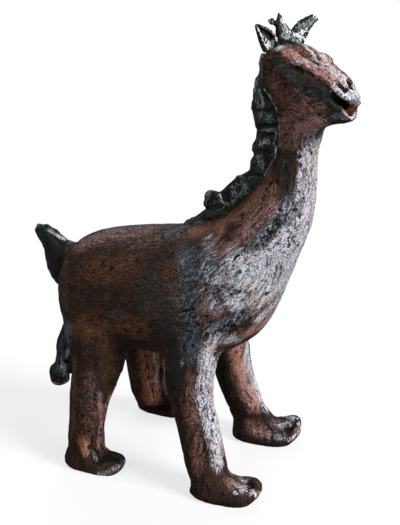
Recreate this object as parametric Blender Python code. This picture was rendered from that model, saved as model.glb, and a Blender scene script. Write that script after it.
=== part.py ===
"""Stoneware horse sculpture, hand built and fired in one piece.

The horse faces +X, its left side is +Y, and it stands on z = 0. Its proportions are shares of its
height: one unit is a fiftieth of that, and every station below is in units.
"""
import math

import bmesh
import bpy
from mathutils import Matrix, Vector

# Driving dimensions, metres
HEIGHT = 0.50
WALL_DETAIL = 0.0024
UNIT = HEIGHT / 50.0

# Faceting of the finished solid
FACE_BUDGET = 9600
RING_SIDES = 28
STEPS_PER_STATION = 4
BODY_RELAX_ROUNDS = 16
DETAIL_RELAX_ROUNDS = 2
RELAX_FACTOR = 0.5

# Fired clay colour
CLAY_COLOUR = (0.16, 0.075, 0.05, 1.0)
CLAY_ROUGHNESS = 0.62

# Head pose: the face turns to the horse's right about an upright line through the poll
HEAD_TURN = math.radians(-17.0)
HEAD_ROLL = math.radians(3.0)
HEAD_PIVOT = Vector((11.8, 0.0, 44.0))
TURN_STARTS = 35.0
TURN_ENDS = 42.0
MANE_FOLLOW = 0.35

# Trunk and neck: spine x, z, underline x, z, half width, fullness below the middle
TRUNK = (
    (-14.7, 21.6, -14.6, 18.8, 1.8, 0.0),
    (-14.0, 23.4, -13.9, 16.2, 4.1, 0.1),
    (-12.2, 25.0, -12.5, 14.1, 5.85, 0.18),
    (-9.0, 26.15, -9.0, 13.2, 6.7, 0.22),
    (-5.0, 26.95, -5.0, 13.0, 6.9, 0.15),
    (-1.0, 27.6, -0.5, 13.2, 6.9, 0.15),
    (2.2, 28.5, 4.4, 14.0, 6.6, 0.18),
    (4.4, 29.6, 8.75, 17.0, 6.2, 0.05),
    (6.1, 30.9, 10.8, 21.4, 5.5, 0.0),
    (7.6, 32.6, 12.5, 26.0, 4.6, 0.0),
    (8.9, 34.3, 13.7, 29.8, 3.7, 0.0),
    (9.7, 36.0, 14.05, 33.4, 2.9, 0.0),
    (10.0, 38.4, 13.95, 36.8, 2.5, 0.0),
    (9.6, 41.0, 14.4, 39.3, 2.6, 0.0),
    (10.0, 43.4, 13.4, 42.4, 2.2, 0.0),
)

# Skull and upper jaw, before the head turns: top x, z, bottom x, z, half width, fullness below
SKULL = (
    (7.9, 45.4, 8.9, 42.0, 1.3, 0.0),
    (8.6, 46.7, 10.8, 40.0, 2.6, 0.0),
    (10.3, 47.3, 13.2, 39.0, 3.1, 0.0),
    (12.1, 47.15, 14.6, 39.4, 3.1, 0.0),
    (13.7, 46.2, 15.6, 40.6, 2.7, 0.05),
    (15.4, 45.55, 16.3, 41.8, 2.2, 0.05),
    (16.9, 44.65, 17.2, 42.6, 1.8, 0.0),
    (17.9, 43.5, 17.95, 42.5, 1.5, 0.0),
    (18.65, 42.95, 18.4, 42.5, 0.9, 0.0),
)

# Lower jaw, before the head turns
JAW = (
    (12.4, 42.5, 13.1, 38.9, 2.3, 0.0),
    (14.5, 42.6, 14.6, 39.5, 2.4, 0.0),
    (16.2, 41.7, 16.2, 40.15, 2.0, 0.0),
    (17.4, 41.3, 17.3, 40.45, 1.6, 0.0),
    (18.4, 41.35, 18.3, 40.6, 1.0, 0.0),
)
# Clay that closes the mouth on the far side, before the head turns: centre and half sizes
MOUTH_FLOOR = ((16.9, 0.9, 42.0), (1.75, 0.7, 0.9))

# Brow ridges over the eyes, before the head turns: centres, half sizes and the slope of the face
BROWS = ((13.1, -1.9, 45.75), (13.6, 1.9, 45.45))
BROW_SIZE = (1.25, 0.75, 0.62)
BROW_SLOPE = math.radians(30.0)

# Ears, before the head turns: base, tip, the way the hollow faces, half width, curl, base share
EARS = (
    ((9.75, -1.6, 46.4), (9.3, -3.0, 49.5), (0.9, -0.45, 0.1), 1.0, 0.4, 0.9),
    ((9.45, 1.6, 46.6), (11.4, 3.4, 49.75), (0.8, -0.5, 0.1), 1.0, 0.35, 0.5),
)
EAR_THICKNESS = 0.32
# Share of the ear's length and share of its half width there, above the base
EAR_OUTLINE = ((0.35, 0.95), (0.6, 0.95), (0.8, 0.72), (0.94, 0.4), (1.0, 0.16))

# Forelock prongs, before the head turns: root, tip, root radius, tip radius
FORELOCK = (
    ((9.8, -0.1, 46.6), (8.5, -0.2, 49.6), 0.75, 0.5),
    ((10.0, 0.0, 46.6), (9.5, 0.0, 50.25), 0.75, 0.27),
    ((10.3, 0.1, 46.6), (10.05, 0.1, 49.5), 0.7, 0.25),
    ((10.8, 0.6, 46.4), (10.7, 0.8, 48.2), 0.9, 0.5),
)

# Pressed hollows, before the head turns: centre x, y, z, radius, depth
FACE_HOLLOWS = (
    (13.6, -2.45, 45.35, 0.62, 0.4),
    (14.1, 2.4, 45.0, 0.62, 0.4),
    (17.7, -1.45, 43.75, 0.55, 0.45),
    (17.8, 1.4, 43.6, 0.55, 0.4),
)

# Legs from hip or shoulder down to the ankle: centre x, y, z, half depth, half width
NEAR_FORE_LEG = (
    (3.8, -3.4, 20.0, 3.4, 2.6),
    (2.9, -4.3, 16.4, 3.1, 2.6),
    (2.55, -5.0, 12.9, 2.8, 2.4),
    (2.95, -5.4, 10.4, 2.45, 2.3),
    (3.95, -5.8, 7.3, 2.4, 2.2),
    (4.8, -6.1, 4.3, 2.35, 2.15),
    (5.2, -6.3, 2.6, 2.3, 2.1),
    (5.6, -6.4, 1.2, 2.0, 1.9),
)
FAR_FORE_LEG = (
    (3.6, 3.4, 20.0, 3.4, 2.6),
    (2.7, 4.3, 16.4, 3.1, 2.6),
    (2.45, 5.2, 12.4, 2.7, 2.4),
    (3.05, 5.8, 9.0, 2.4, 2.2),
    (3.75, 6.1, 6.5, 2.25, 2.1),
    (4.6, 6.5, 3.95, 2.25, 2.1),
    (5.25, 6.8, 2.6, 2.5, 2.1),
    (5.5, 6.9, 1.2, 2.0, 1.9),
)
NEAR_HIND_LEG = (
    (-9.6, -3.0, 20.0, 4.2, 3.0),
    (-9.0, -4.2, 15.6, 3.9, 3.0),
    (-8.5, -5.0, 11.9, 3.0, 2.6),
    (-8.8, -5.5, 10.2, 2.7, 2.4),
    (-9.25, -6.0, 7.8, 2.3, 2.2),
    (-9.5, -6.4, 5.4, 2.1, 2.05),
    (-9.55, -6.7, 3.2, 2.05, 2.0),
    (-9.3, -6.9, 1.4, 1.95, 1.9),
)
FAR_HIND_LEG = (
    (-9.6, 3.0, 20.0, 4.2, 3.0),
    (-9.0, 4.2, 15.6, 3.9, 3.0),
    (-8.5, 5.2, 11.9, 3.0, 2.6),
    (-8.6, 5.9, 9.6, 2.8, 2.35),
    (-8.65, 6.5, 6.3, 2.5, 2.15),
    (-8.6, 7.0, 3.4, 2.35, 2.1),
    (-8.3, 7.2, 1.4, 2.0, 1.9),
)

# Feet, heel to toe: run along the foot, half width, underside z, top z
SLIPPER = (
    (-3.75, 0.9, 0.4, 1.5),
    (-3.4, 1.6, -0.2, 2.2),
    (-2.2, 2.1, -0.6, 2.7),
    (-0.5, 2.3, -0.7, 2.6),
    (1.1, 2.3, -0.7, 2.0),
    (2.6, 2.1, -0.3, 2.2),
    (3.4, 1.5, 0.4, 2.2),
    (3.9, 0.6, 1.0, 1.9),
)
TOE_RUN = 3.9
# Feet: centre x, y, the way the toe points in degrees from +X, how far the toe rises, and size
FEET = (
    (7.4, -6.3, 9.0, 0.05, 1.0),
    (6.85, 7.2, 10.0, 1.1, 1.07),
    (-8.4, -6.7, 6.0, -0.9, 0.93),
    (-7.2, 8.4, 2.0, -0.3, 0.93),
)
# Thumb dents on the toes: run along the foot, height, radius, depth
TOE_DENT = (1.9, 2.4, 1.1, 0.45)

# Tail in the middle plane: centre x, z, half thickness across the strip, half width
TAIL = (
    (-13.0, 22.0, 1.8, 1.2),
    (-15.4, 22.5, 1.4, 1.25),
    (-17.2, 23.8, 1.15, 1.15),
    (-18.4, 24.85, 0.75, 0.9),
    (-17.2, 22.9, 1.0, 1.0),
    (-16.7, 21.2, 1.2, 1.1),
    (-16.1, 19.6, 1.15, 1.1),
    (-14.7, 17.8, 0.8, 1.0),
    (-14.7, 16.0, 0.7, 0.9),
    (-15.0, 14.2, 0.65, 0.9),
    (-15.9, 12.0, 0.75, 0.95),
    (-16.4, 10.0, 0.8, 1.0),
    (-16.4, 8.4, 0.9, 1.05),
    (-16.9, 7.0, 1.25, 1.2),
    (-16.9, 5.6, 1.1, 1.1),
)

# Mane strip, withers to poll: root x, z, outer edge x, z, half thickness
MANE = (
    (-0.6, 27.3, -0.2, 28.1, 0.35),
    (1.2, 28.0, 1.2, 29.2, 0.5),
    (3.2, 28.7, 2.9, 30.7, 0.75),
    (5.2, 30.0, 4.3, 32.6, 0.8),
    (7.4, 31.6, 5.7, 33.8, 0.85),
    (9.2, 33.6, 7.1, 34.9, 0.85),
    (10.2, 36.2, 7.3, 36.9, 0.85),
    (10.4, 39.2, 7.4, 39.2, 0.85),
    (10.0, 41.8, 6.95, 41.8, 0.8),
    (9.2, 44.2, 7.5, 44.2, 0.7),
    (8.9, 46.2, 7.9, 46.2, 0.5),
)
# Locks pressed onto the strip, withers to poll: each one's share of the strip's height
LOCK_REACH = (
    0.97, 1.0, 0.93, 0.9, 0.95, 0.95, 0.93, 0.95, 0.95, 0.95, 0.97, 0.8, 0.97, 1.0, 0.97, 0.86, 0.93,
)
LOCK_RADIUS = 0.85
LOCK_DROOP = 0.45
LOCK_SIDE = 0.32
# The loose knob of clay low on the mane: centre x, y, z, radius
KNOB = (3.1, -0.1, 31.2, 0.85)


def blend(a, b, c, d, t):
    """Return the Catmull-Rom value between b and c at share t."""
    return 0.5 * (2 * b + (c - a) * t + (2 * a - 5 * b + 4 * c - d) * t * t + (3 * b - a - 3 * c + d) * t ** 3)


def smooth_stations(stations, steps=STEPS_PER_STATION):
    """Return the stations with steps - 1 smooth ones set in between each pair."""
    last = len(stations) - 1
    result = []
    for i in range(last):
        around = [stations[max(0, min(last, i + k))] for k in (-1, 0, 1, 2)]
        for step in range(steps):
            t = step / steps
            result.append(tuple(blend(*values, t) for values in zip(*around)))
    result.append(tuple(float(value) for value in stations[last]))
    return result


def oval(centre, up, side, fullness=0.0, power=1.0):
    """Return a ring round centre: an oval, fuller below the middle, squarer as power falls."""
    ring = []
    for k in range(RING_SIDES):
        angle = 2.0 * math.pi * k / RING_SIDES
        c = math.copysign(abs(math.cos(angle)) ** power, math.cos(angle))
        s = math.copysign(abs(math.sin(angle)) ** power, math.sin(angle))
        ring.append(centre + up * c + side * (s * (1.0 - fullness * c)))
    return ring


def skin(bm, rings):
    """Skin a row of rings into one closed shell."""
    rows = [[bm.verts.new(point * UNIT) for point in ring] for ring in rings]
    count = len(rows[0])
    for low, high in zip(rows, rows[1:]):
        for k in range(count):
            n = (k + 1) % count
            bm.faces.new((low[k], low[n], high[n], high[k]))
    for row in (rows[0], rows[-1]):
        middle = bm.verts.new(sum((v.co for v in row), Vector()) / count)
        for k in range(count):
            bm.faces.new((row[k], row[(k + 1) % count], middle))


def turn_head(point, share=1.0):
    """Turn and roll a point with the head, by a share of the whole turn."""
    spin = Matrix.Rotation(HEAD_TURN * share, 3, "Z") @ Matrix.Rotation(HEAD_ROLL * share, 3, "X")
    return HEAD_PIVOT + spin @ (point - HEAD_PIVOT)


def whole_turn(_height):
    """Return the whole turn, for what belongs to the head."""
    return 1.0


def neck_share(height):
    """Return how much of the head's turn the neck has taken up at a height."""
    share = max(0.0, min(1.0, (height - TURN_STARTS) / (TURN_ENDS - TURN_STARTS)))
    return share * share * (3.0 - 2.0 * share)


def add_upright_loft(bm, stations, twist, power=1.0):
    """Loft sections that hang between a top line and an underline, each turned by its twist."""
    rings = []
    for top_x, top_z, low_x, low_z, half, fullness in smooth_stations(stations):
        top = Vector((top_x, 0.0, top_z))
        low = Vector((low_x, 0.0, low_z))
        middle = (top + low) / 2.0
        ring = oval(middle, (top - low) / 2.0, Vector((0.0, half, 0.0)), fullness, power)
        rings.append([turn_head(point, twist(middle.z)) for point in ring])
    skin(bm, rings)


def add_leg(bm, stations):
    """Loft one leg down its centre line."""
    rings = []
    for x, y, z, depth, width in smooth_stations(stations):
        rings.append(oval(Vector((x, y, z)), Vector((depth, 0.0, 0.0)), Vector((0.0, width, 0.0))))
    skin(bm, rings)


def add_foot(bm, x, y, heading, toe_rise, size):
    """Loft one slipper-shaped foot from heel to toe."""
    spin = Matrix.Rotation(math.radians(heading), 3, "Z")
    rings = []
    for run, half, low, top in smooth_stations(SLIPPER):
        toe = max(0.0, run / TOE_RUN)
        top += toe_rise * toe
        low += min(0.0, toe_rise) * toe * 0.5
        centre = Vector((x, y, 0.0)) + spin @ Vector((run * size, 0.0, (low + top) / 2.0))
        up = Vector((0.0, 0.0, (top - low) / 2.0))
        rings.append(oval(centre, up, spin @ Vector((0.0, half * size, 0.0)), 0.15, 0.85))
    skin(bm, rings)


def add_lump(bm, centre, stretch, share):
    """Add a ball of clay stretched by a matrix and turned by a share of the head's turn."""
    for vert in bmesh.ops.create_icosphere(bm, subdivisions=3, radius=1.0)["verts"]:
        vert.co = turn_head(Vector(centre) + stretch @ vert.co, share) * UNIT


def add_prong(bm, root, tip, root_radius, tip_radius):
    """Loft one tapering prong of the forelock."""
    root = Vector(root)
    axis = Vector(tip) - root
    across = axis.cross(Vector((0.0, 1.0, 0.0))).normalized()
    rings = []
    for step in range(7):
        t = step / 6.0
        radius = root_radius + (tip_radius - root_radius) * t
        if step == 6:
            radius *= 0.5
        ring = oval(root + axis * t, across * radius, Vector((0.0, radius, 0.0)))
        rings.append([turn_head(point) for point in ring])
    skin(bm, rings)


def add_ear(bm, base, tip, facing, half, curl, base_share):
    """Loft one ear: a leaf whose edges curl towards the way it faces."""
    base = Vector(base)
    axis = Vector(tip) - base
    side = axis.cross(Vector(facing)).normalized()
    front = side.cross(axis).normalized()
    rings = []
    for share, width in smooth_stations(((0.0, base_share),) + EAR_OUTLINE, 3):
        ring = []
        for k in range(RING_SIDES):
            angle = 2.0 * math.pi * k / RING_SIDES
            s = math.sin(angle) * half * width
            lift = math.cos(angle) * EAR_THICKNESS + curl * math.sin(angle) ** 2 * width
            ring.append(turn_head(base + axis * share + side * s + front * lift))
        rings.append(ring)
    skin(bm, rings)


def add_tail(bm):
    """Loft the tail strip along its bent centre line in the middle plane."""
    stations = smooth_stations(TAIL)
    rings = []
    for i, (x, z, thick, wide) in enumerate(stations):
        before = stations[max(0, i - 1)]
        after = stations[min(len(stations) - 1, i + 1)]
        run = Vector((after[0] - before[0], 0.0, after[1] - before[1])).normalized()
        across = Vector((-run.z, 0.0, run.x))
        rings.append(oval(Vector((x, 0.0, z)), across * thick, Vector((0.0, wide, 0.0))))
    skin(bm, rings)


def mane_share(height):
    """Return how far the mane follows the head: it lags behind the neck."""
    return MANE_FOLLOW * neck_share(height)


def along_mane(share):
    """Return root, outer edge and half thickness at a share of the mane's length."""
    stations = smooth_stations(MANE)
    root_x, root_z, edge_x, edge_z, half = stations[round(share * (len(stations) - 1))]
    return Vector((root_x, 0.0, root_z)), Vector((edge_x, 0.0, edge_z)), half


def add_mane(bm):
    """Loft the mane strip on the crest of the neck and press its locks onto it."""
    rings = []
    count = len(smooth_stations(MANE))
    for i in range(count):
        root, edge, half = along_mane(i / (count - 1))
        ring = oval((root + edge) / 2.0, (edge - root) / 2.0, Vector((0.0, half, 0.0)), 0.2)
        rings.append([turn_head(point, mane_share(root.z)) for point in ring])
    skin(bm, rings)
    for i, reach in enumerate(LOCK_REACH):
        root, edge, half = along_mane((i + 1) / (len(LOCK_REACH) + 1))
        out = (edge - root) * reach
        out.z -= LOCK_DROOP
        long_way = out.normalized()
        cross_way = Vector((long_way.z, 0.0, -long_way.x))
        stretch = Matrix((long_way * out.length * 0.55, Vector((0.0, half * 0.9, 0.0)), cross_way * LOCK_RADIUS))
        middle = root + out * 0.55
        middle.y = LOCK_SIDE * (-1) ** i
        add_lump(bm, middle, stretch.transposed(), mane_share(root.z))
    add_lump(bm, KNOB[:3], Matrix.Scale(KNOB[3], 3), 0.0)


def finish_shells(bm):
    """Turn the shells' faces outwards and return them as a mesh."""
    bmesh.ops.recalc_face_normals(bm, faces=bm.faces)
    mesh = bpy.data.meshes.new("clay")
    bm.to_mesh(mesh)
    bm.free()
    return mesh


def body_shells():
    """Return trunk, head, legs and feet as overlapping closed shells."""
    bm = bmesh.new()
    add_upright_loft(bm, TRUNK, neck_share)
    add_upright_loft(bm, SKULL, whole_turn, 0.85)
    add_upright_loft(bm, JAW, whole_turn, 0.9)
    for leg in (NEAR_FORE_LEG, FAR_FORE_LEG, NEAR_HIND_LEG, FAR_HIND_LEG):
        add_leg(bm, leg)
    for foot in FEET:
        add_foot(bm, *foot)
    return finish_shells(bm)


def detailed_shells(body):
    """Return the smoothed body with ears, brows, forelock, mane and tail laid on."""
    bm = bmesh.new()
    bm.from_mesh(body)
    for brow in BROWS:
        slope = Matrix.Rotation(BROW_SLOPE, 3, "Y")
        add_lump(bm, brow, slope @ Matrix.Diagonal(BROW_SIZE), 1.0)
    add_lump(bm, MOUTH_FLOOR[0], Matrix.Diagonal(MOUTH_FLOOR[1]), 1.0)
    for ear in EARS:
        add_ear(bm, *ear)
    for prong in FORELOCK:
        add_prong(bm, *prong)
    add_tail(bm)
    add_mane(bm)
    return finish_shells(bm)


def evaluated_copy(body):
    """Return the object's mesh as its modifiers leave it."""
    graph = bpy.context.evaluated_depsgraph_get()
    return bpy.data.meshes.new_from_object(body.evaluated_get(graph))


def weld(body, shells, relax_rounds):
    """Give the object the shells remeshed into one skin and relaxed, as hands smooth the joins."""
    body.data = shells
    remesh = body.modifiers.new("one skin", "REMESH")
    remesh.mode = "VOXEL"
    remesh.voxel_size = WALL_DETAIL
    relax = body.modifiers.new("smoothed joins", "SMOOTH")
    relax.factor = RELAX_FACTOR
    relax.iterations = relax_rounds
    mesh = evaluated_copy(body)
    body.modifiers.clear()
    body.data = mesh
    return mesh


def press(mesh, centre, radius, depth, push):
    """Press a smooth hollow into the clay round a point, along push."""
    for vert in mesh.vertices:
        away = (vert.co / UNIT - centre).length / radius
        if away < 1.0:
            vert.co += push * (depth * UNIT * (1.0 - away * away) ** 2)


def press_hollows(mesh):
    """Press the eyes, the nostrils and a thumb dent on each toe."""
    for x, y, z, radius, depth in FACE_HOLLOWS:
        centre = turn_head(Vector((x, y, z)))
        inward = turn_head(Vector((x, 0.0, z))) - centre
        press(mesh, centre, radius, depth, inward.normalized())
    run, height, radius, depth = TOE_DENT
    for x, y, heading, toe_rise, size in FEET:
        along = Matrix.Rotation(math.radians(heading), 3, "Z") @ Vector((run * size, 0.0, 0.0))
        spot = Vector((x, y, height + toe_rise * run / TOE_RUN)) + along
        press(mesh, spot, radius, depth, Vector((0.0, 0.0, -1.0)))


def thin_faces(body):
    """Thin the skin to the face budget, keeping the form."""
    thin = body.modifiers.new("fewer faces", "DECIMATE")
    thin.ratio = FACE_BUDGET / sum(len(face.vertices) - 2 for face in body.data.polygons)
    thin.use_collapse_triangulate = True
    mesh = evaluated_copy(body)
    body.modifiers.clear()
    body.data = mesh


def flatten_soles(body):
    """Cut the feet flat on z = 0, centre the horse on its outline and return that shift."""
    bm = bmesh.new()
    bm.from_mesh(body.data)
    geometry = bm.verts[:] + bm.edges[:] + bm.faces[:]
    bmesh.ops.bisect_plane(bm, geom=geometry, plane_co=(0, 0, 0), plane_no=(0, 0, 1), clear_inner=True)
    rim = [edge for edge in bm.edges if edge.is_boundary]
    bmesh.ops.holes_fill(bm, edges=rim, sides=0)
    xs = [v.co.x for v in bm.verts]
    ys = [v.co.y for v in bm.verts]
    shift = Vector((-(min(xs) + max(xs)) / 2.0, -(min(ys) + max(ys)) / 2.0, 0.0))
    bmesh.ops.translate(bm, vec=shift, verts=bm.verts)
    bmesh.ops.triangulate(bm, faces=bm.faces)
    bm.to_mesh(body.data)
    bm.free()
    return shift


def clay_material():
    """Return the fired clay material."""
    material = bpy.data.materials.new("iron washed stoneware")
    material.use_nodes = True
    shader = material.node_tree.nodes["Principled BSDF"]
    shader.inputs["Base Color"].default_value = CLAY_COLOUR
    shader.inputs["Roughness"].default_value = CLAY_ROUGHNESS
    shader.inputs["Metallic"].default_value = 0.0
    return material


def main():
    """Build the horse and return the shift that centred it."""
    for old in list(bpy.data.objects):
        bpy.data.objects.remove(old, do_unlink=True)
    shells = body_shells()
    body = bpy.data.objects.new("horse", shells)
    bpy.context.scene.collection.objects.link(body)
    smoothed = weld(body, shells, BODY_RELAX_ROUNDS)
    press_hollows(weld(body, detailed_shells(smoothed), DETAIL_RELAX_ROUNDS))
    thin_faces(body)
    shift = flatten_soles(body)
    body.data.materials.clear()
    body.data.materials.append(clay_material())
    body.data.shade_smooth()
    return shift


if __name__ == "__main__":
    main()
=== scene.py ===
"""Looks of a hand-built stoneware horse, fired once with an iron wash and patches of dark glaze.

The clay skin starts from the frame's own solid. Modelling marks and colours are laid on it where the
photograph shows them, then repeated in kind on the sides that it does not show.
"""

import logging
import math
from collections.abc import Callable, Iterable, Iterator
from contextlib import contextmanager
from dataclasses import dataclass, field
from enum import Enum
from itertools import product

import bpy
import numpy as np
from mathutils import Matrix, Vector
from mathutils.bvhtree import BVHTree


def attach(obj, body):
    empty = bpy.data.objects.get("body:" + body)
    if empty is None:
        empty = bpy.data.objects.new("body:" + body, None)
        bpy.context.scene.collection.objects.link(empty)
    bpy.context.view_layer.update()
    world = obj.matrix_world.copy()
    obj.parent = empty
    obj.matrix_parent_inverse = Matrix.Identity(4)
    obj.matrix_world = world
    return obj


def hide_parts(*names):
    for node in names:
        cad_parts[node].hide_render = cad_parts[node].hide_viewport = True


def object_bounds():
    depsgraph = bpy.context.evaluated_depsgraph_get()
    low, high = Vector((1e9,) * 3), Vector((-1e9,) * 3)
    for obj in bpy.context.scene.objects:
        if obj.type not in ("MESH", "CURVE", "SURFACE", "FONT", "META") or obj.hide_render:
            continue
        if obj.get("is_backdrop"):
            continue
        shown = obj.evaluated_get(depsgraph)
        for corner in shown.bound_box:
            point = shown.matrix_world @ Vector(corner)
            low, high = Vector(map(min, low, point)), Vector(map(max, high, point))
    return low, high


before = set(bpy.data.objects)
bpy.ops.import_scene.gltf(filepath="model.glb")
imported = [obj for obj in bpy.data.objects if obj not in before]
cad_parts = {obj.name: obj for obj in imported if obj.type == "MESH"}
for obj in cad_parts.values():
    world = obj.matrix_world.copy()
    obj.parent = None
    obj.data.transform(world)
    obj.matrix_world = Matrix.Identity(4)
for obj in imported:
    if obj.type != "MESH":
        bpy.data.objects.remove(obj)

log = logging.getLogger("stoneware horse")

CM = 0.01
MM = 0.001
NODE = "horse"
MIDDLE_Y = -0.0084
PHOTO_SIZE = (400, 525)
TINY = 1e-12
WHITE = (1.0, 1.0, 1.0, 1.0)

Pixel = tuple[float, float]
Path = tuple[Pixel, ...]
Span = tuple[float, float]
Colour = tuple[float, float, float]
Triple = tuple[float, float, float]
Material = bpy.types.Material
Node = bpy.types.Node
Object = bpy.types.Object
Outputs = bpy.types.NodeOutputs
Socket = bpy.types.NodeSocket
Tree = bpy.types.NodeTree

# Where the fine relief of the clay mostly lies, and the same a little wider.
RELIEF: Span = (0.38, 0.62)
WIDE_RELIEF: Span = (0.37, 0.63)


class Layer(Enum):
    """What a patch of the surface carries, and the name of the attribute that stores it."""

    # Pale ash, and with it painted sheen and highlights on the sides that face the key light.
    ASH = "ash"
    ROSE = "rose"
    RUST = "rust"
    SLATE = "slate"
    # Dark glaze, and painted shade in its colour on the neck and flank.
    GLAZE = "glaze"
    # White glaze, and painted glints and sheen flecks.
    CHALK = "chalk_and_glint"
    BARE = "bare"
    # Dark marks, darkened grooves and pits, and painted shade in hollows and under overhangs.
    SOOT = "soot_and_shade"
    # Pale breaks in the glaze, and painted highlights.
    PALE = "pale"
    UPRIGHT = "upright"
    SLANT = "slant"


@dataclass(frozen=True)
class Mark:
    """A dab or stroke of colour, placed by pixels of the photograph, with its reach in millimetres."""

    name: str
    path: Path
    reach: float
    strength: float


@dataclass(frozen=True)
class Stroke:
    """A groove or ridge: its path in pixels, reach and height in millimetres, grooves below zero."""

    name: str
    path: Path
    reach: float
    height: float
    # Darkening of a groove: glaze pooled in it, and painted shade in deep hollows.
    soot_and_shade: float = 0.0


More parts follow.
